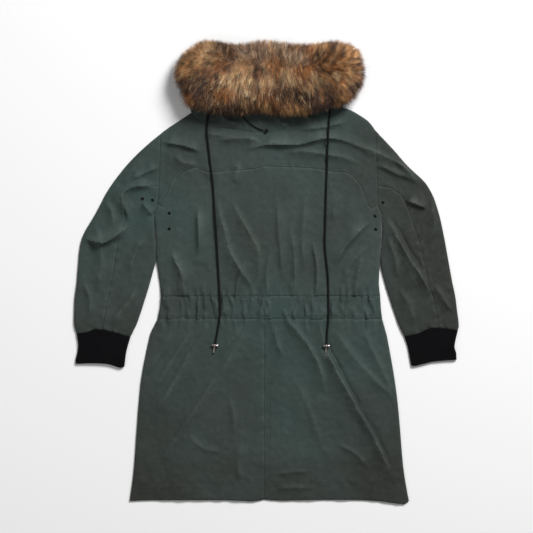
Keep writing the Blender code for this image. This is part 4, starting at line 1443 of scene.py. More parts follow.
@dataclass
class Cuff:
    """A ribbed cuff laid flat: one knitted tube from the sleeve's end to its mouth."""

    side: str
    seam: Route
    mouth: Route
    outer: Route
    inner: Route
    top: float = 7.0
    wall: float = 2.5
    ribs: int = 34
    rib: float = 0.75
    across: int = 6  # samples over one rib
    courses: int = 26

    def grid(self, u: np.ndarray, v: np.ndarray) -> np.ndarray:
        """Places inside the four edges: u runs from the outer to the inner edge, v to the mouth.

        Args:
            u: shares from the outer to the inner edge.
            v: shares from the seam to the mouth.

        Returns:
            Rows of x and y.
        """
        edges = []
        for route, share in ((self.seam, u), (self.mouth, u), (self.outer, v), (self.inner, v)):
            line = curved(rows(route), 4)
            edges.append(at_lengths(line, share * lengths_along(line)[-1]))
        seam, mouth, outer, inner = edges
        corner = [seam[0], seam[-1], mouth[0], mouth[-1]]
        along, down = u[:, None], v[:, None]
        flat = (1 - down) * (corner[0] * (1 - along) + corner[1] * along)
        flat = flat + down * (corner[2] * (1 - along) + corner[3] * along)
        blend = (1 - down) * seam + down * mouth + (1 - along) * outer + along * inner
        return blend - flat

    def ring(self, v: float, drawn: float) -> np.ndarray:
        """One closed course of the knit at v, drawn inward by a wall.

        Args:
            v: the share of the way from the seam to the mouth.
            drawn: how far the course is inside the outer face, 0 on the face itself.

        Returns:
            Rows of x, y and z, once round.
        """
        count = self.ribs * self.across
        u = np.linspace(0, 1, count + 1)
        place = self.grid(u, np.full(count + 1, v))
        wide = float(np.linalg.norm(place[-1] - place[0]))
        edge = np.clip(np.minimum(u, 1 - u) * wide / 7.0, 0, 1)
        arch = rounded(edge)
        wale = np.cos(u * self.ribs * 2 * math.pi)
        knit = self.rib * np.sign(wale) * np.abs(wale) ** 0.7 * (1 - 0.6 * drawn / self.wall)
        slump = 0.7 * noise(place, 34, 21) + 0.5 * noise(place, 15, 22)
        middle = self.top * 0.5
        high = middle + (self.top - middle - drawn) * arch + (knit + slump * (drawn == 0)) * arch
        low = middle - (middle - drawn) * arch
        low = np.maximum(low, 0.0)
        shrink = drawn * 0.7 / wide
        place = place + (place.mean(axis=0) - place) * (2 * shrink)
        upper = np.column_stack((place, high))
        lower = np.column_stack((place, low))[1:-1][::-1][:: self.across // 2]
        return np.vstack((upper, lower))

    def make(self, finish: bpy.types.Material) -> bpy.types.Object:
        """Builds the cuff and lets it stand for its node.

        Args:
            finish: the material it wears.

        Returns:
            The cuff.
        """
        shares = np.linspace(0, 1, self.courses)
        rings = [self.ring(float(v), 0.0) for v in shares]
        rings += [self.ring(float(v), self.wall * 0.7) for v in shares[::-1]]
        count = len(rings[0])
        faces = []
        for row in range(len(rings)):
            start, after = row * count, ((row + 1) % len(rings)) * count
            for i in range(count):
                j = (i + 1) % count
                faces.append((start + i, after + i, after + j, start + j))
        made = mesh_piece(f"cuff_{self.side}_rib", np.vstack(rings), faces, finish, 60)
        flip_if_inside_out(made)
        settle(made, (f"cuff_{self.side}",))
        return made


def flip_if_inside_out(made: bpy.types.Object) -> None:
    """Turns every face round when the closed piece encloses less than nothing.

    Args:
        made: the piece.
    """
    mesh = made.data
    mesh.calc_loop_triangles()
    places = np.array([v.co for v in mesh.vertices])
    corners = places[np.array([t.vertices for t in mesh.loop_triangles])]
    if np.einsum("ij,ij->i", corners[:, 0], np.cross(corners[:, 1], corners[:, 2])).sum() < 0:
        mesh.flip_normals()


# ---------------------------------------------------------------- stitching and eyelets


class Thread(Enum):
    """The two looks of sewing thread on the coat: light worn thread, and dark thread that also serves as
    painted shade along the seams.
    """

    WORN = "worn"
    # dark stitches: partly real thread, partly painted shade of the seam grooves
    PLAIN = "plain"


@dataclass(frozen=True)
class StitchLine:
    """A row of stitches that runs beside a seam at an offset, positive on its left."""

    route: Route
    offset: float
    thread: Thread = Thread.PLAIN
    wide: float = 0.5  # half the width of a stitch


STITCHING = {
    "yoke_stitching": (
        StitchLine(YOKE_SEAM, 2.4, Thread.WORN, 0.42), StitchLine(YOKE_SEAM, 8.0),
        StitchLine(NECK_SEAM, -3.0), StitchLine(ARMHOLE_LEFT, 3.2), StitchLine(ARMHOLE_RIGHT, -3.2),
    ),
    "waist_stitching": (
        StitchLine(CASING_TOP_LINE, 0.0), StitchLine(CASING_TOP_LINE, -5.5), StitchLine(CASING_LOW_LINE, 0.0),
        StitchLine(CASING_LOW_LINE, 5.5),
    ),
    "skirt_stitching": (
        StitchLine(CENTRE_BACK, 9.0), StitchLine(CENTRE_BACK, 16.0), StitchLine(HEM_LINE, 0.0),
    ),
    "sleeve_left_stitching": (
        StitchLine(CUFF_SEAM_LEFT, 9.0, Thread.WORN, 0.45),
        StitchLine(ELBOW_LEFT, -3.0, Thread.WORN, 0.36), StitchLine(ELBOW_LEFT, -9.0, Thread.WORN, 0.36),
    ),
    "sleeve_right_stitching": (
        StitchLine(CUFF_SEAM_RIGHT, 9.0, Thread.WORN, 0.45),
        StitchLine(ELBOW_RIGHT, 3.0, Thread.WORN, 0.36), StitchLine(ELBOW_RIGHT, 9.0, Thread.WORN, 0.36),
    ),
}


@dataclass
class Stitcher:
    """Lays stitches on the finished cloth."""

    cloth: list[bpy.types.Object]
    pitch: float = 3.3
    long: float = 2.3
    high: float = 0.34
    trees: list[BVHTree] = field(default_factory=list)

    def __post_init__(self) -> None:
        """Reads the cloth once."""
        for item in self.cloth:
            places = [tuple(corner.co) for corner in item.data.vertices]
            faces = [tuple(face.vertices) for face in item.data.polygons]
            self.trees.append(BVHTree.FromPolygons(places, faces))

    def height(self, x: float, y: float) -> float | None:
        """The height of the uppermost cloth at a place, or None beside it.

        Args:
            x: the place along x, in millimetres.
            y: the place along y, in millimetres.

        Returns:
            The height in millimetres, or None.
        """
        start = Vector((x * MM, y * MM, 1.0))
        found = [tree.ray_cast(start, Vector((0, 0, -1)))[0] for tree in self.trees]
        heights = [hit.z / MM for hit in found if hit]
        return max(heights) if heights else None

    def line(self, stitch: StitchLine) -> tuple[np.ndarray, list[tuple[int, ...]]]:
        """The places and faces of one row of stitches.

        Args:
            stitch: the row to lay.

        Returns:
            The places, and the corners of the faces.
        """
        route = curved(rows(stitch.route), 3)
        ahead = np.gradient(route, axis=0)
        ahead /= np.linalg.norm(ahead, axis=1)[:, None]
        route = route + np.column_stack((-ahead[:, 1], ahead[:, 0])) * stitch.offset
        length = lengths_along(route)[-1]
        middles = np.arange(self.pitch, length - self.pitch, self.pitch)
        tails = at_lengths(route, middles - self.long / 2)
        heads = at_lengths(route, middles + self.long / 2)
        places, faces = [], []
        for tail, head in zip(tails, heads):
            low, high = self.height(*tail), self.height(*head)
            if low is None or high is None or min(low, high) < 3:
                continue
            run = (head - tail) / np.linalg.norm(head - tail)
            side = np.array([-run[1], run[0]]) * stitch.wide
            third = (head - tail) / 3
            mid_low, mid_high = low + (high - low) / 3, high - (high - low) / 3
            start = len(places)
            places += [
                (*tail, low - 0.1), (*head, high - 0.1),
                (*(tail + third + side), mid_low - 0.05), (*(head - third + side), mid_high - 0.05),
                (*(tail + third - side), mid_low - 0.05), (*(head - third - side), mid_high - 0.05),
                (*(tail + third), mid_low + self.high), (*(head - third), mid_high + self.high),
            ]
            faces += [
                tuple(start + k for k in face)
                for face in ((0, 6, 2), (0, 4, 6), (1, 3, 7), (1, 7, 5), (2, 6, 7, 3), (4, 5, 7, 6))
            ]
        return np.array(places).reshape(-1, 3), faces

    def make(self, name: str, lines: tuple[StitchLine, ...], threads: dict) -> list[bpy.types.Object]:
        """Builds the rows of one part of the coat, a piece for each thread.

        Args:
            name: the start of the names of the pieces.
            lines: the rows.
            threads: the material of each thread.

        Returns:
            The pieces.
        """
        made = []
        for thread in Thread:
            places, faces = [], []
            for stitch in [item for item in lines if item.thread is thread]:
                more, corners = self.line(stitch)
                start = sum(len(p) for p in places)
                faces += [tuple(k + start for k in face) for face in corners]
                places.append(more)
            if faces:
                piece = mesh_piece(f"{name}_{thread.value}", np.vstack(places), faces, threads[thread], 60)
                made.append(settle(piece))
        return made


@dataclass
class Eyelets:
    """The small dark vent eyelets under each arm."""

    side: str
    places: Route
    stitcher: Stitcher
    profile: tuple[tuple[float, float], ...] = (
        (1.7, 0.1), (1.7, 0.4), (2.0, 0.75), (2.7, 1.0), (3.5, 0.8), (4.0, 0.3), (4.1, -0.4), (0.02, 0.15),
    )
    sides: int = 28

    def make(self, metal: bpy.types.Material, nodes: tuple[str, ...]) -> bpy.types.Object:
        """Builds the rings of one side as one piece.

        Args:
            metal: the rings' material.
            nodes: the nodes that the piece stands for.

        Returns:
            The piece.
        """
        angle = np.arange(self.sides) * 2 * math.pi / self.sides
        places, faces = [], []
        for x, y in self.places:
            height = self.stitcher.height(x, y) or BACK_TOP
            for row, (radius, z) in enumerate(self.profile):
                start = len(places)
                places += [(x + radius * math.cos(a), y + radius * math.sin(a), height + z) for a in angle]
                after = start + self.sides if row < len(self.profile) - 1 else start - row * self.sides
                for i in range(self.sides):
                    j = (i + 1) % self.sides
                    faces.append((start + i, after + i, after + j, start + j))
        made = mesh_piece(f"eyelets_{self.side}", np.array(places), faces, metal, 40)
        return settle(made, nodes)


# ---------------------------------------------------------------- fur


class Coat(Enum):
    """The colours of the fur, each from the root to the tip of a hair."""

    TAN = ((58, 33, 15), (140, 92, 48), (196, 148, 98))
    OLIVE = ((56, 37, 20), (130, 94, 58), (186, 148, 106))
    RUST = ((66, 34, 13), (142, 82, 33), (176, 114, 58))
    CREAM = ((80, 40, 12), (158, 92, 36), (240, 206, 160))
    BROWN = ((38, 21, 10), (98, 58, 26), (134, 84, 44))
    DARK = ((20, 12, 7), (42, 25, 15), (62, 40, 26))
    BLACK = ((10, 7, 7), (16, 11, 11), (22, 17, 18))
    BLUE = ((38, 25, 18), (38, 31, 34), (38, 36, 50))
    GREY = ((72, 54, 41), (132, 108, 88), (164, 142, 122))


@dataclass(frozen=True)
class Tract:
    """How the hair lies and what colour it is round one place on the ruff."""

    x: float
    y: float
    heading: float  # degrees anticlockwise from +X
    length: float
    coat: Coat


TRACTS = (
    Tract(-165, 578, 100, 34, Coat.TAN), Tract(-190, 562, 135, 34, Coat.TAN),
    Tract(-215, 540, 165, 32, Coat.TAN), Tract(-227, 505, 195, 32, Coat.TAN),
    Tract(-229, 480, 215, 30, Coat.BROWN), Tract(-215, 458, 235, 30, Coat.BLUE),
    Tract(-197, 430, 245, 34, Coat.RUST), Tract(-172, 440, 245, 36, Coat.BLUE),
    Tract(-147, 565, 110, 36, Coat.OLIVE), Tract(-118, 576, 90, 30, Coat.DARK),
    Tract(-100, 562, 75, 28, Coat.DARK), Tract(-86, 540, 100, 22, Coat.DARK),
    Tract(-147, 530, 175, 36, Coat.OLIVE), Tract(-175, 505, 205, 36, Coat.TAN),
    Tract(-140, 490, 225, 38, Coat.BROWN), Tract(-165, 469, 232, 38, Coat.BLUE),
    Tract(-133, 455, 245, 38, Coat.DARK), Tract(-147, 422, 250, 36, Coat.BLUE),
    Tract(-111, 501, 215, 36, Coat.BROWN), Tract(-93, 476, 240, 38, Coat.CREAM),
    Tract(-104, 440, 255, 38, Coat.RUST), Tract(-93, 405, 265, 32, Coat.BLUE),
    Tract(-61, 394, 270, 28, Coat.BLACK), Tract(-54, 437, 262, 36, Coat.CREAM),
    Tract(-43, 472, 250, 36, Coat.CREAM), Tract(-61, 508, 215, 34, Coat.OLIVE),
    Tract(-68, 544, 130, 36, Coat.GREY), Tract(-40, 562, 105, 36, Coat.GREY),
    Tract(-4, 572, 90, 34, Coat.GREY), Tract(-4, 537, 92, 40, Coat.GREY),
    Tract(39, 555, 88, 38, Coat.GREY), Tract(67, 565, 80, 34, Coat.BROWN),
    Tract(78, 533, 85, 34, Coat.GREY), Tract(-25, 492, 225, 26, Coat.DARK),
    Tract(17, 506, 270, 28, Coat.RUST), Tract(-4, 472, 262, 36, Coat.CREAM),
    Tract(57, 480, 275, 36, Coat.CREAM), Tract(89, 490, 285, 34, Coat.RUST),
    Tract(117, 476, 290, 34, Coat.CREAM), Tract(-4, 437, 268, 36, Coat.BROWN),
    Tract(39, 451, 275, 36, Coat.DARK), Tract(67, 437, 280, 36, Coat.BLACK),
    Tract(96, 419, 290, 34, Coat.BLACK), Tract(-25, 405, 265, 32, Coat.DARK),
    Tract(-4, 397, 270, 34, Coat.TAN), Tract(32, 405, 272, 34, Coat.BROWN),
    Tract(60, 397, 275, 34, Coat.TAN), Tract(96, 394, 285, 34, Coat.TAN),
    Tract(125, 408, 285, 32, Coat.BLUE), Tract(103, 558, 80, 34, Coat.BROWN),
    Tract(132, 565, 75, 34, Coat.TAN), Tract(132, 526, 60, 24, Coat.DARK),
    Tract(139, 497, 320, 28, Coat.BROWN), Tract(167, 569, 65, 34, Coat.DARK),
    Tract(192, 569, 60, 34, Coat.TAN), Tract(221, 555, 40, 34, Coat.TAN),
    Tract(175, 537, 45, 36, Coat.BROWN), Tract(210, 522, 20, 36, Coat.TAN),
    Tract(241, 522, 10, 30, Coat.BROWN), Tract(246, 490, 345, 28, Coat.BLUE),
    Tract(189, 497, 350, 36, Coat.RUST), Tract(210, 480, 340, 36, Coat.TAN),
    Tract(217, 455, 325, 34, Coat.BLUE), Tract(235, 440, 320, 30, Coat.BROWN),
    Tract(175, 465, 315, 36, Coat.RUST), Tract(146, 455, 290, 34, Coat.DARK),
    Tract(157, 430, 285, 34, Coat.BLUE), Tract(182, 430, 300, 34, Coat.TAN),
    Tract(210, 422, 310, 32, Coat.BROWN), Tract(139, 397, 280, 30, Coat.BLUE),
)


# Hollows of the ruff, as x, y, share of its height and width
HOLLOWS = ((-90, 538, 0.24, 34), (122, 522, 0.26, 34), (30, 516, 0.1, 60), (70, 435, 0.2, 34))
TUFT_KEY = (4099, 131)  # turns the two steps of a tuft's cell into one number
BAND_AT = (0.0, 0.55, 1.0)  # where along a hair its three colours are pure
BLACK_BELOW, CREAM_ABOVE = 0.2, 0.90  # shares of the guard hairs that are black and cream
MOST_HAIR_OVER = 5  # how far a hair's tip may stand over the ruff's height


@dataclass
class FurRuff:
    """The long fur of the hood's edge: dark underfur and tufts of tapered hairs."""

    pieces: int = 4
    hairs: int = 24000  # in each piece
    knots: int = 5  # places along a hair
    root_wide: float = 0.75
    tip_wide: float = 0.14
    tuft: float = 5.2
    sectors: int = 110  # points of the outline
    under: float = 0.74  # height of the underfur over that of the hair
    inset: float = 15.0  # of the underfur from the outline
    reach: float = 86.0  # height of the hair at its highest
    slope: float = 78.0  # how far in from the outline the hair rises
    lip: float = 20.0  # height of the hair at the outline
    seed: int = 7
    tracts: tuple[Tract, ...] = TRACTS
    common: dict[Coat, float] = field(default_factory=lambda: {
        Coat.TAN: 0.05, Coat.OLIVE: 0.01, Coat.RUST: 0.06, Coat.CREAM: 0.01, Coat.BROWN: 0.05,
        Coat.DARK: 0.05, Coat.BLACK: 0.01, Coat.BLUE: 0.0, Coat.GREY: 0.0,
    })  # what every part of the ruff has of each coat

    def __post_init__(self) -> None:
        """Reads the ruff's outline from its node."""
        self.random = np.random.default_rng(self.seed)
        self.rim = self.outline()

    def outline(self) -> Rim:
        """The ruff's outline as seen from above."""
        places, triangles = welded(frame["nodes"]["fur_ruff"])
        flat = places[:, :2]
        starts, ends = flat[triangles].reshape(-1, 2), flat[np.roll(triangles, -1, axis=1)].reshape(-1, 2)
        along = np.linspace(0, 1, 40)[:, None, None]
        spread = (starts + (ends - starts) * along).reshape(-1, 2)
        middle = 0.5 * (flat.min(axis=0) + flat.max(axis=0))
        stretch = np.array([1.0, 2.2])  # evens out the turn of a wide outline
        angle = np.arctan2(*((spread - middle) * stretch)[:, ::-1].T)
        far = np.hypot(*((spread - middle) * stretch).T)
        sector = np.floor((angle + math.pi) / math.tau * self.sectors).astype(int) % self.sectors
        order = np.lexsort((far, sector))
        last = np.append(np.flatnonzero(np.diff(sector[order])), len(order) - 1)
        line = spread[order[last]]
        line = curved(np.vstack((line, line[:1])), 4)[:-1]
        return Rim(line, np.zeros(len(line), bool))

    def envelope(self, points: np.ndarray) -> np.ndarray:
        """The height that the hair reaches over each place.

        Args:
            points: rows of x and y.

        Returns:
            One height for each row, in millimetres.
        """
        away = np.where(self.rim.holds(points), self.rim.away(points, False), 0)
        share = np.clip(away / self.slope, 0, 1)
        x, y = points.T
        dip = 0.14 * bell(x - 10, 70)
        for at_x, at_y, deep, wide in HOLLOWS:
            dip = dip + deep * np.exp(-(((x - at_x) ** 2 + (y - at_y) ** 2) / wide**2))
        return self.lip + (self.reach * (1 - dip) - self.lip) * rounded(share)

    def skin(self, points: np.ndarray) -> np.ndarray:
        """The height of the underfur over each place.

        Args:
            points: rows of x and y.

        Returns:
            One height for each row, in millimetres.
        """
        away = np.where(self.rim.holds(points), self.rim.away(points, False), 0)
        rise = rounded(np.clip((away - self.inset) / 26, 0, 1))
        return 10 + (self.envelope(points) * self.under - 10) * rise

    def field_at(self, points: np.ndarray) -> tuple[np.ndarray, np.ndarray, np.ndarray]:
        """How the hair lies at each place.

        Args:
            points: rows of x and y.

        Returns:
            The heading as unit rows, the length, and the share of each coat.
        """
        sites = np.array([(t.x, t.y) for t in self.tracts], float)
        angle = np.radians([t.heading for t in self.tracts])
        length = np.array([t.length for t in self.tracts])
        coats = list(Coat)
        kind = np.eye(len(coats))[[coats.index(t.coat) for t in self.tracts]]
        square = ((points[:, None, :] - sites[None, :, :]) ** 2).sum(axis=2)
        weight = 1 / (square + 110) ** 2.4
        weight /= weight.sum(axis=1)[:, None]
        heading = weight @ np.column_stack((np.cos(angle), np.sin(angle)))
        heading /= np.maximum(np.linalg.norm(heading, axis=1), 1e-6)[:, None]
        return heading, weight @ length, weight @ kind

    def tips(self, count: int) -> np.ndarray:
        """Places spread over the ruff's outline.

        Args:
            count: how many places.

        Returns:
            Rows of x and y.
        """
        low, high = self.rim.points.min(axis=0), self.rim.points.max(axis=0)
        found = np.empty((0, 2))
        while len(found) < count:
            more = low + self.random.random((2 * count, 2)) * (high - low)
            found = np.vstack((found, more[self.rim.holds(more)]))
        return found[:count]

    def tufts_of(self, tips: np.ndarray) -> tuple[np.ndarray, np.ndarray]:
        """The tuft that each tip belongs to: its number and the place of its point.

        Args:
            tips: rows of x and y.

        Returns:
            A number and a place for each row.
        """
        cell = np.floor(tips / self.tuft).astype(int)
        best = np.full(len(tips), 1e9)
        number = np.zeros(len(tips), int)
        centre = tips.copy()
        for step_x in (-1, 0, 1):
            for step_y in (-1, 0, 1):
                other = cell + (step_x, step_y)
                key = other[:, 0] * TUFT_KEY[0] + other[:, 1] * TUFT_KEY[1]
                shift = np.column_stack([scattered(key, turn, 9973) for turn in (12.9898, 78.233)])
                place = (other + 0.1 + 0.8 * shift) * self.tuft
                gap = np.hypot(*(tips - place).T)
                near = gap < best
                best[near], number[near], centre[near] = gap[near], key[near], place[near]
        return number, centre

    def colours(self, share: np.ndarray, tuft: np.ndarray, count: int) -> np.ndarray:
        """The colour of each knot of each hair, from root to tip.

        Args:
            share: the share of each coat, a row for each hair.
            tuft: the number of each hair's tuft.
            count: how many knots a hair has.

        Returns:
            Rows of knots of linear colour, one block for each hair.
        """
        common = np.array([self.common[coat] for coat in Coat])
        mixed = (share**1.7 + common) * np.exp(0.8 * self.random.standard_normal(share.shape))
        lumps = np.column_stack([scattered(tuft, 3.7 + k, 5417) for k in range(share.shape[1])])
        mixed *= np.exp(3.6 * (lumps - 0.5))
        tufted = scattered(tuft, 2.11, 7919)
        loose = self.random.random(len(share))
        guard = np.where(self.random.random(len(share)) < 0.75, tufted, loose)
        names = [coat.name for coat in Coat]
        black, cream = guard < BLACK_BELOW, guard > CREAM_ABOVE
        mixed[black, names.index("BLACK")] += 6 * mixed[black].sum(axis=1)
        mixed[cream, names.index("CREAM")] += 3 * mixed[cream].sum(axis=1)
        mixed /= mixed.sum(axis=1)[:, None]
        bands = np.array([[linear(colour)[:3] for colour in coat.value] for coat in Coat])
        hair = np.einsum("hc,cbk->hbk", mixed, bands)
        at = np.linspace(0, 1, count)
        shares = np.column_stack([np.interp(at, BAND_AT, row) for row in np.eye(3)])
        tint = np.einsum("kb,hbc->hkc", shares, hair)
        bright = 0.93 * np.exp(0.4 * self.random.standard_normal(len(share)) + 1.5 * (lumps[:, 0] - 0.5))
        return np.clip(tint * bright[:, None, None], 0, 1)

    def hair_lines(self, count: int) -> tuple[np.ndarray, np.ndarray]:
        """The knots of hairs, as blocks of rows, and the number of each one's tuft.

        Args:
            count: how many hairs.

        Returns:
            The knots, and the number of the tuft of each hair.
        """
        tips = self.tips(count)
        heading, length, _ = self.field_at(tips)
        length = length * (0.6 + 0.75 * self.random.random(count))
        reach = heading * (0.85 * length)[:, None]
        roots = tips - reach
        number, centre = self.tufts_of(roots)
        inner = eased(self.rim.away(tips, False) / 30)
        gather = (0.2 + 0.6 * self.random.random(count)) * (0.4 + 0.6 * inner)
        pull = (centre - roots) * gather[:, None]
        pull = pull - heading * (pull * heading).sum(axis=1)[:, None]
        lean = (scattered(number, 0.731, 811) - 0.5) * 0.45
        lean = lean + 0.1 * self.random.standard_normal(count)
        reach = np.column_stack((
            reach[:, 0] * np.cos(lean) - reach[:, 1] * np.sin(lean),
            reach[:, 0] * np.sin(lean) + reach[:, 1] * np.cos(lean),
        ))
        stray = self.random.random(count) < 0.06
        roots = roots + 0.5 * pull + 1.0 * self.random.standard_normal((count, 2))
        past = np.abs(self.random.standard_normal(count)) * (1.0 + 4.5 * stray)
        tips = roots + reach * (1 + past / length)[:, None] + 0.6 * pull
        root_z = self.skin(roots) - 2
        lift = scattered(number, 1.37, 631) * 7 - 3
        tip_z = self.envelope(tips) + lift + 2.2 * self.random.standard_normal(count) - 3
        tip_z = np.clip(tip_z, 2.0, self.reach + MOST_HAIR_OVER)
        middle = roots + (tips - roots) * 0.42
        middle_z = np.maximum(self.envelope(middle) + 0.3 * lift, 0.5 * (root_z + tip_z) + 2)
        t = np.linspace(0, 1, self.knots)[None, :, None]
        start = np.column_stack((roots, root_z))[:, None, :]
        bend = np.column_stack((middle, middle_z))[:, None, :]
        end = np.column_stack((tips, tip_z))[:, None, :]
        line = (1 - t) ** 2 * start + 2 * t * (1 - t) * bend + t**2 * end
        curl = 1.1 * self.random.standard_normal((count, 1, 2)) * np.sin(t * math.pi * 1.5)
        line[:, :, :2] += curl
        line[:, :, 2] = np.maximum(line[:, :, 2], 0.4)
        return line, number

    def make_hairs(self, name: str, finish: bpy.types.Material) -> bpy.types.Object:
        """Builds one piece of long hair, each hair a tapered blade that faces outward.

        Args:
            name: the name of the piece.
            finish: the hair's material.

        Returns:
            The piece.
        """
        line, number = self.hair_lines(self.hairs)
        count, knots = line.shape[:2]
        ahead = np.gradient(line, axis=1)
        ahead /= np.maximum(np.linalg.norm(ahead, axis=2), 1e-6)[:, :, None]
        up = np.zeros((count, 1, 3))
        up[:, 0, :2] = 0.9 * self.random.standard_normal((count, 2))
        up[:, 0, 2] = 1.2
        side = np.cross(ahead, up)
        side /= np.maximum(np.linalg.norm(side, axis=2), 1e-6)[:, :, None]
        taper = np.linspace(1, 0, knots) ** 0.7
        wide = (self.tip_wide + (self.root_wide - self.tip_wide) * taper) / 2
        wide = wide[None, :] * (0.7 + 0.6 * self.random.random(count))[:, None]
        left, right = line + side * wide[:, :, None], line - side * wide[:, :, None]
        blade = np.stack((left[:, :-1], right[:, :-1]), axis=2).reshape(count, -1, 3)
        blade = np.concatenate((blade, line[:, -1:]), axis=1)
        corners = blade.shape[1]
        quads = [(2 * k, 2 * k + 1, 2 * k + 3, 2 * k + 2) for k in range(knots - 2)]
        point = (2 * knots - 4, 2 * knots - 3, 2 * knots - 2)
        loops = np.concatenate([np.array(quads).ravel(), point])
        starts = np.concatenate((np.arange(knots - 2) * 4, [4 * (knots - 2)]))
        mesh = bpy.data.meshes.new(name)
        mesh.vertices.add(count * corners)
        mesh.vertices.foreach_set("co", (blade * MM).ravel())
        mesh.loops.add(count * len(loops))
        first = np.arange(count)[:, None]
        mesh.loops.foreach_set("vertex_index", (loops[None, :] + first * corners).ravel())
        mesh.polygons.add(count * len(starts))
        mesh.polygons.foreach_set("loop_start", (starts[None, :] + first * len(loops)).ravel())
        mesh.update(calc_edges=True)
        mesh.shade_smooth()
        _, _, share = self.field_at(0.5 * (line[:, -1, :2] + line[:, knots // 2, :2]))
        tint = self.colours(share, number, knots)
        rgba = np.ones((count, corners, 4))
        rgba[:, : corners - 1, :3] = np.repeat(tint[:, :-1], 2, axis=1)
        rgba[:, -1, :3] = tint[:, -1]
        layer = mesh.color_attributes.new("tint", "FLOAT_COLOR", "POINT")
        layer.data.foreach_set("color", rgba.ravel())
        self.lay_out(mesh, count, corners, loops)
        mesh.materials.append(finish)
        return settle(added(name, mesh))

    @staticmethod
    def lay_out(mesh: bpy.types.Mesh, count: int, corners: int, loops: np.ndarray) -> None:
        """Gives each hair an upright strip of its own in a square sheet.

        Args:
            mesh: the mesh of the hairs.
            count: how many hairs it has.
            corners: how many corners a hair has.
            loops: the corners of a hair's faces in turn.
        """
        columns = math.ceil(math.sqrt(count))
        hair = np.arange(count)
        row, column = hair // columns, hair % columns
        level = np.array([k // 2 / (corners // 2) for k in range(corners)])
        across = np.array([0.3 + 0.4 * (k % 2) if k < corners - 1 else 0.5 for k in range(corners)])
        u = (column[:, None] + across[loops][None, :]) / columns
        v = (row[:, None] + 0.1 + 0.8 * level[loops][None, :]) / columns
        sheet = mesh.uv_layers.new(name="OFBake")
        sheet.data.foreach_set("uv", np.stack((u, v), axis=2).ravel())

    def make_skin(self, finish: bpy.types.Material) -> bpy.types.Object:
        """Builds the underfur as one closed swelling, which stands for the node.

        Args:
            finish: the underfur's material.

        Returns:
            The piece.
        """
        toward = self.rim.points.mean(axis=0) - self.rim.points
        toward *= self.inset / np.linalg.norm(toward, axis=1)[:, None]
        points, triangles = Rim(self.rim.points + toward, self.rim.rolled).filled(7.0)
        shell = Shell()
        rough = 2.4 * noise(points, 10, 31) + 1.6 * noise(points, 5, 32)
        shell.add_layer(points, self.skin(points) + rough, triangles, True)
        base = np.where((np.abs(points[:, 0]) < 204) & (points[:, 1] < 498), 12.0, 0.5)
        shell.add_layer(points, np.minimum(base, 9.5), triangles, False)
        count = len(self.rim.points)
        shell.add_wall(0, 1, np.arange(count), count)
        made = mesh_piece("ruff_underfur", np.vstack(shell.places), shell.faces, finish, 80)
        return settle(made, ("fur_ruff",))

    def make(self, hair: bpy.types.Material, skin: bpy.types.Material) -> list[bpy.types.Object]:
        """Builds the underfur and the long hair.

        Args:
            hair: the long hair's material.
            skin: the underfur's material.

        Returns:
            Every piece.
        """
        made = [self.make_skin(skin)]
        for number in range(self.pieces):
            made.append(self.make_hairs(f"ruff_hair_{number + 1}", hair))
        return made


# ---------------------------------------------------------------- studio


@dataclass
class Studio:
    """The camera straight above, the pale floor and the soft lights."""

    width: float = 1.3325
    middle: tuple[float, float] = (0.0, 0.0121)
    height: float = 9.0
    sensor: float = 36.0
    key_power: float = 385.0
    world: float = 0.2
    floor_size: float = 30.0

    def camera(self) -> bpy.types.Object:
        """The camera, which looks straight down with a long lens."""
        data = bpy.data.cameras.new("overhead")
        data.sensor_width = self.sensor
        data.lens = self.sensor * self.height / self.width
        data.clip_end = 100
        made = added("overhead", data)
        made.location = (*self.middle, self.height)
        bpy.context.scene.camera = made
        return made

    def floor(self) -> bpy.types.Object:
        """The pale floor that the coat lies on."""
        half = self.floor_size / 2
        mesh = bpy.data.meshes.new("floor")
        corners = [(-half, -half, 0), (half, -half, 0), (half, half, 0), (-half, half, 0)]
        mesh.from_pydata(corners, [], [(0, 1, 2, 3)])
        mesh.materials.append(FloorFinish().material())
        made = added("floor", mesh)
        made.location.z = -0.0004
        return made

    def light(
        self, name: str, place: tuple[float, float, float], size: float, power: float
    ) -> bpy.types.Object:
        """A square soft light aimed at the middle of the coat.

        Args:
            name: the name of the light.
            place: where it is, in metres.
            size: the side of its square, in metres.
            power: its power in watts.

        Returns:
            The light.
        """
        data = bpy.data.lights.new(name, "AREA")
        data.size = size
        data.energy = power
        made = added(name, data)
        made.location = place
        made.rotation_euler = (Vector((0, 0, 0)) - Vector(place)).to_track_quat("-Z", "Y").to_euler()
        return made

    def lights(self) -> None:
        """The key from the upper right, a weak fill, and an even white surround."""
        self.light("key", (2.5, 3.6, 3.8), 2.0, self.key_power)
        self.light("fill", (-2.2, -0.6, 2.4), 2.4, 0.04 * self.key_power)
        world = bpy.data.worlds.new("surround")
        world.use_nodes = True
        back = world.node_tree.nodes["Background"]
        back.inputs["Color"].default_value = (1, 1, 1, 1)
        back.inputs["Strength"].default_value = self.world
        bpy.context.scene.world = world
        bpy.context.scene.view_settings.view_transform = "Standard"


# ---------------------------------------------------------------- the coat

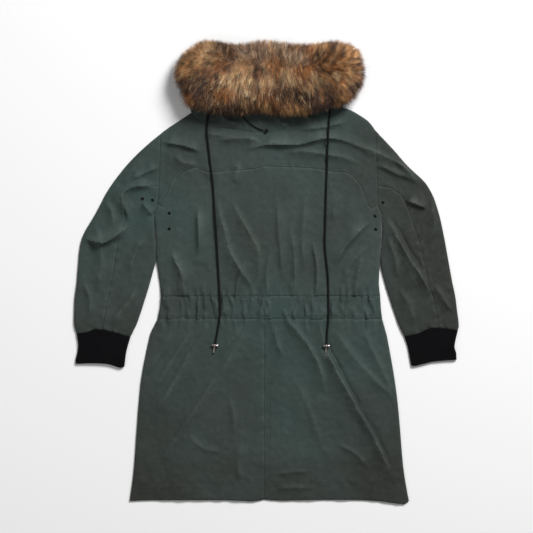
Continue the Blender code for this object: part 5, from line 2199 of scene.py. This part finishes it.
LEFT_CORD = (
    (-143, 401), (-148, 380), (-149, 352), (-141, 275), (-134, 218), (-130, 156), (-126, 100), (-123, 49),
    (-119, -22), (-116, -78), (-117, -118), (-122, -148), (-128, -181),
)
RIGHT_CORD = (
    (158, 403), (157, 380), (155, 350), (153, 316), (151, 254), (149, 204), (147, 120), (146, 61),
    (153, -7), (155, -70), (155, -114), (152, -147), (150, -182),
)
CLOTH_PIECES = (
    ClothPiece("back_yoke"), ClothPiece("back_panel"), ClothPiece("waist_casing", held="gathered", cell=3.0),
    ClothPiece("skirt_back_left"), ClothPiece("skirt_back_right"),
    ClothPiece("sleeve_left_outer", Region.LEFT_ARM, tube=True),
    ClothPiece("sleeve_left_inner", Region.LEFT_ARM, tube=True),
    ClothPiece("sleeve_right_outer", Region.RIGHT_ARM, tube=True),
    ClothPiece("sleeve_right_inner", Region.RIGHT_ARM, tube=True),
    ClothPiece("hood_left", tube=True), ClothPiece("hood_right", tube=True), ClothPiece("hood_middle"),
)
GROUND_PIECES = (GroundPiece("front_left"), GroundPiece("front_right"), GroundPiece("front_placket"))
CUFFS = (
    Cuff(
        "left",
        seam=CUFF_SEAM_LEFT[::-1],
        mouth=((-477, -231), (-437, -230), (-397, -232), (-365, -241), (-355, -238)),
        outer=((-475, -155), (-471, -180), (-472, -200), (-477, -220), (-477, -231)),
        inner=((-340, -164), (-350, -200), (-355, -238)),
    ),
    Cuff(
        "right",
        seam=CUFF_SEAM_RIGHT,
        mouth=((475, -221), (415, -226), (367, -237), (361, -234)),
        outer=((478, -148), (470, -188), (474, -204), (475, -221)),
        inner=((344, -163), (352, -186), (356, -206), (361, -234)),
    ),
)
EYELETS_LEFT = ((-310, 181), (-285, 178), (-243, 145), (-243, 106))
EYELETS_RIGHT = ((291, 172), (271, 138), (273, 105))


def main() -> None:
    """Builds the camera, the cords and then every piece of the coat in order."""
    logging.basicConfig(level=logging.INFO, format="%(name)s: %(message)s")
    studio = Studio()
    studio.camera()
    relief = Relief()
    braid = CordFinish().material()
    silver = MetalFinish("pale_metal", (206, 198, 196), (150, 138, 136), 0.28).material()
    dark_metal = MetalFinish("dark_metal", (44, 44, 48), (20, 20, 22), 0.42).material()
    for side, route in (("left", LEFT_CORD), ("right", RIGHT_CORD)):
        Drawcord(side, route, relief).make(braid, silver)
    Adjuster(relief).make(braid, dark_metal)
    shell = ShellFinish().material()
    cloth = [piece.make(relief, shell) for piece in CLOTH_PIECES]
    for piece in GROUND_PIECES:
        piece.make(shell)
    rib = KnitFinish().material()
    for cuff in CUFFS:
        cuff.make(rib)
    threads = {
        Thread.WORN: ThreadFinish("worn_thread", (56, 64, 60), (118, 126, 117)).material(),
        # dark thread, partly painted shade along the seams
        Thread.PLAIN: ThreadFinish("dark_thread_and_seam_shade", (14, 18, 16), (30, 36, 33)).material(),
    }
    stitcher = Stitcher(cloth)
    for name, lines in STITCHING.items():
        stitcher.make(name, lines, threads)
    for side, places in (("left", EYELETS_LEFT), ("right", EYELETS_RIGHT)):
        nodes = tuple(f"eyelet_{side}_{number + 1}" for number in range(len(places)))
        Eyelets(side, places, stitcher).make(dark_metal, nodes)
    FurRuff().make(HairFinish().material(), SkinFinish().material())
    studio.floor()
    studio.lights()


if __name__ == "__main__":
    main()
